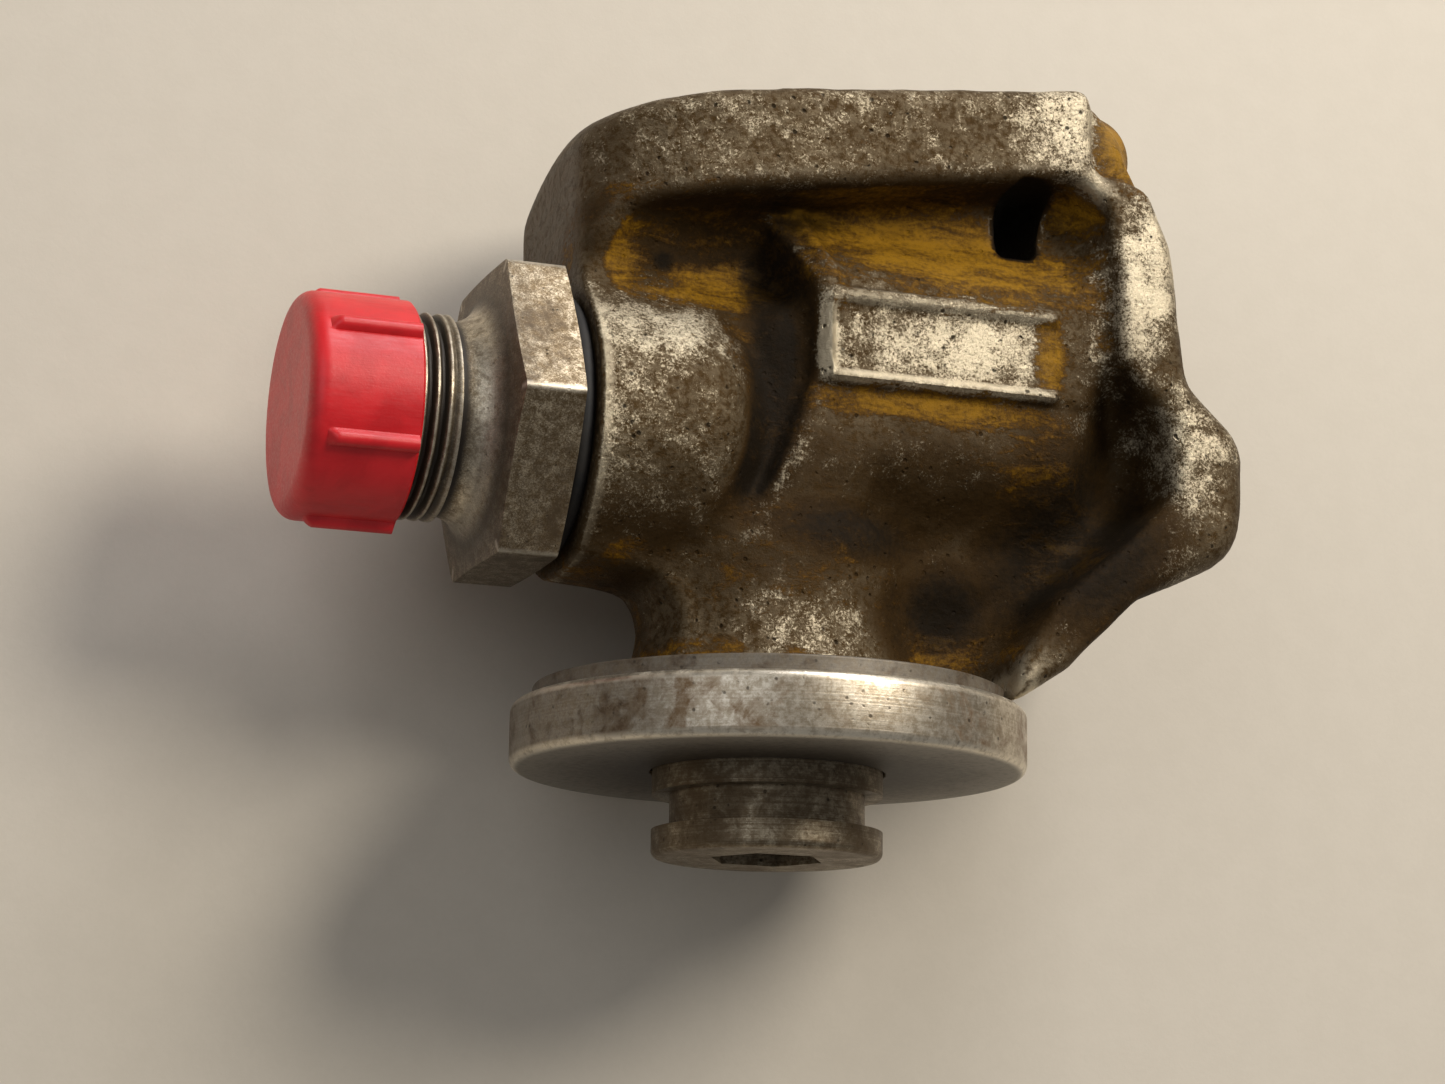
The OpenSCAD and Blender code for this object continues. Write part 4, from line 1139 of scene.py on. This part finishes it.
def adapterMarks(points):
    # Dirt in the thread's roots and at the flare's foot, and painted shade low on the hexagon; worn corners
    # and crests, and a painted highlight on the flare
    a = adapter
    front = a["hexFront"]
    away, outward = axisPlace(points, 0)
    inThread = ramp((outward - a["threadStart"] + 2) / 2) * (outward < a["threadEnd"])
    inThread = inThread * (away > a["flareFront"] - 0.3)
    roots = ramp((a["threadRadius"] - away) / a["threadDepth"]) * inThread
    foot = 0.6 * ramp(1 - np.abs(outward - front - 0.6) / 2.2)
    # Painted shade on the hexagon's lower side
    lower = 0.36 * ramp(-points[:, 1] / 10) * (outward < front + 3)
    angle = np.arctan2(points[:, 1], points[:, 2] - axisHeight)
    turned = np.mod(angle + math.pi / 6, math.pi / 3) - math.pi / 6
    corners = ramp(1.3 - np.abs(turned) * a["cornerCut"] / 0.45)
    corners = corners * (away > 25) * (outward < front + 0.1)
    # Painted highlight on the flare
    flareHighlight = 0.5 * ramp(1.2 - np.abs(outward - front - 2.6) / 2.6)
    crests = 0.45 * ramp(1 - roots * 6) * inThread
    grimeAndShade = np.maximum.reduce([0.3 * inThread + 0.9 * roots, foot, lower]) * (1 - 0.6 * crests)
    return {"grimeAndShade": grimeAndShade, "wornAndHighlight": np.maximum.reduce([corners, flareHighlight, crests])}


def buildAdapter():
    parts = adapterProfile()
    radius, angle, out = turnProfile(np.array([point for part in parts.values() for point in part]), 432)
    ends = np.cumsum([len(part) for part in parts.values()])
    rows = {name: slice(end - len(parts[name]), end) for name, end in zip(parts, ends)}
    hexagon, thread = rows["hexagon"], rows["thread"]
    radius[hexagon] = smoothMin(radius[hexagon], hexRadius(angle) + 0 * radius[hexagon], 0.25)
    radius[thread] = threadRadius(angle, out[thread])
    points, faces = turnedSkin(outwardX, radius, angle, out)
    piece = makeMesh("adapter", points, faces, adapterSteel, "valve_body", 28, adapterMarks(points))
    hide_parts("port_adapter")


buildAdapter()


cap = {
    "openEnd": 63.7,
    "innerEnd": 79.7,
    "closedEnd": 81.5,
    "innerRadius": 16.73,
    "outerRadius": 18.23,
    "edge": 2.7,
    "dishRadius": 15.2,
    "dishDepth": 0.25,
    "ribs": 6,
    "ribFirst": 32,
    "ribWidth": 2.6,
    "ribHeight": 1.4,
    "ribEnd": 78.2,
    "sideRows": 40,
}


def capProfile():
    # The outer side, its rounded edge, the dished end and the inside, as radius and distance outwards
    c = cap
    outer, inner, edge, dish = c["outerRadius"], c["innerRadius"], c["edge"], c["dishRadius"]
    mouth, closed, floor = c["openEnd"], c["closedEnd"], c["innerEnd"]
    side = [(outer, out) for out in np.linspace(mouth + 0.4, closed - edge, c["sideRows"])]
    turn = np.linspace(0, math.pi / 2, 9)[1:]
    corner = [(outer - edge * (1 - math.cos(t)), closed - edge * (1 - math.sin(t))) for t in turn]
    end = [(r, closed - c["dishDepth"] * (1 - (r / dish) ** 2)) for r in np.linspace(dish, 0.0, 10)]
    inside = [(0, floor), (8, floor), (inner - 0.8, floor), (inner, floor - 0.8), (inner, mouth + 0.4),
              (inner + 0.3, mouth), (outer - 0.4, mouth)]
    return np.array(side + corner + end + inside)


def buildCap():
    # A cup whose side rises by a half-round rib near each rib's angle
    c = cap
    radius, angle, out = turnProfile(capProfile(), 480)
    step = 2 * math.pi / c["ribs"]
    away = np.mod(angle - math.radians(c["ribFirst"]) + step / 2, step) - step / 2
    across = ramp(np.abs(away) * c["outerRadius"] / (c["ribWidth"] / 2))
    along = np.sqrt(ramp((c["ribEnd"] - out[:c["sideRows"]]) / 1.2))
    radius[:c["sideRows"]] += c["ribHeight"] * np.sqrt(1 - across ** 2) * along
    points, faces = turnedSkin(outwardX, radius, angle, out)
    piece = makeMesh("dustCap", points, faces, redPlastic, "dust_cap", 35)
    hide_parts("thread_cap")


print("dust cap")
buildCap()


springs = {
    "mainSpring": {"node": "main_spring", "middle": 5.24, "wire": 0.70, "turns": 7,
                   "joint": "main_poppet_lift", "travel": 5.0},
    "pilotSpring": {"node": "pilot_spring", "middle": 3.65, "wire": 0.55, "turns": 4,
                    "joint": "pilot_cone_lift", "travel": 1.5},
}


def buildSpring(name):
    # The wire's circle carried along a helix whose first and last three quarters of a turn lie flat
    s = springs[name]
    low, high = boxOf(s["node"])
    start, length = -high[1], high[1] - low[1]
    along = np.linspace(0, s["turns"], s["turns"] * 48 + 1)
    climb = ramp((along - 0.75) / (s["turns"] - 1.5))
    middle = start + s["wire"] + (length - 2 * s["wire"]) * climb
    ring = np.linspace(0, 2 * np.pi, 20, endpoint=False)
    # The ends close on a first and a last ring of no width
    wire = np.full(len(along) + 2, s["wire"])
    wire[[0, -1]] = 0.0
    row = np.concatenate([[0], np.arange(len(along)), [len(along) - 1]])
    radius = s["middle"] + wire[:, None] * np.cos(ring)[None, :]
    out = middle[row][:, None] + wire[:, None] * np.sin(ring)[None, :]
    points = outwardY(radius, 2 * np.pi * along[row][:, None], out).reshape(-1, 3)
    points, faces = closeSkin(points, gridFaces(*radius.shape, False, True))
    piece = makeMesh(name, points, faces, springSteel, "valve_body", 50)
    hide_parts(s["node"])
    axisHeight * mm
    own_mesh(piece)


print("springs")
for name in springs:
    buildSpring(name)


finishes = {
    "turned_steel": noseSteel,
    "ground_steel": groundSteel,
    "spring_steel": springSteel,
    "brass": brass,
    "black_rubber": blackRubber,
    "white_plastic": whitePlastic,
}
remade = {"body", "port_adapter", "thread_cap", "main_spring", "pilot_spring"}


print("finishes of the carried-over pieces")
for row in frame["record"]["subparts"]:
    if row["node"] in remade:
        continue
    piece = frame["nodes"][row["node"]]
    material = finishes[row["material_slot"]]
    if not piece.material_slots:
        piece.data.materials.append(material)
    for slot in piece.material_slots:
        slot.material = material
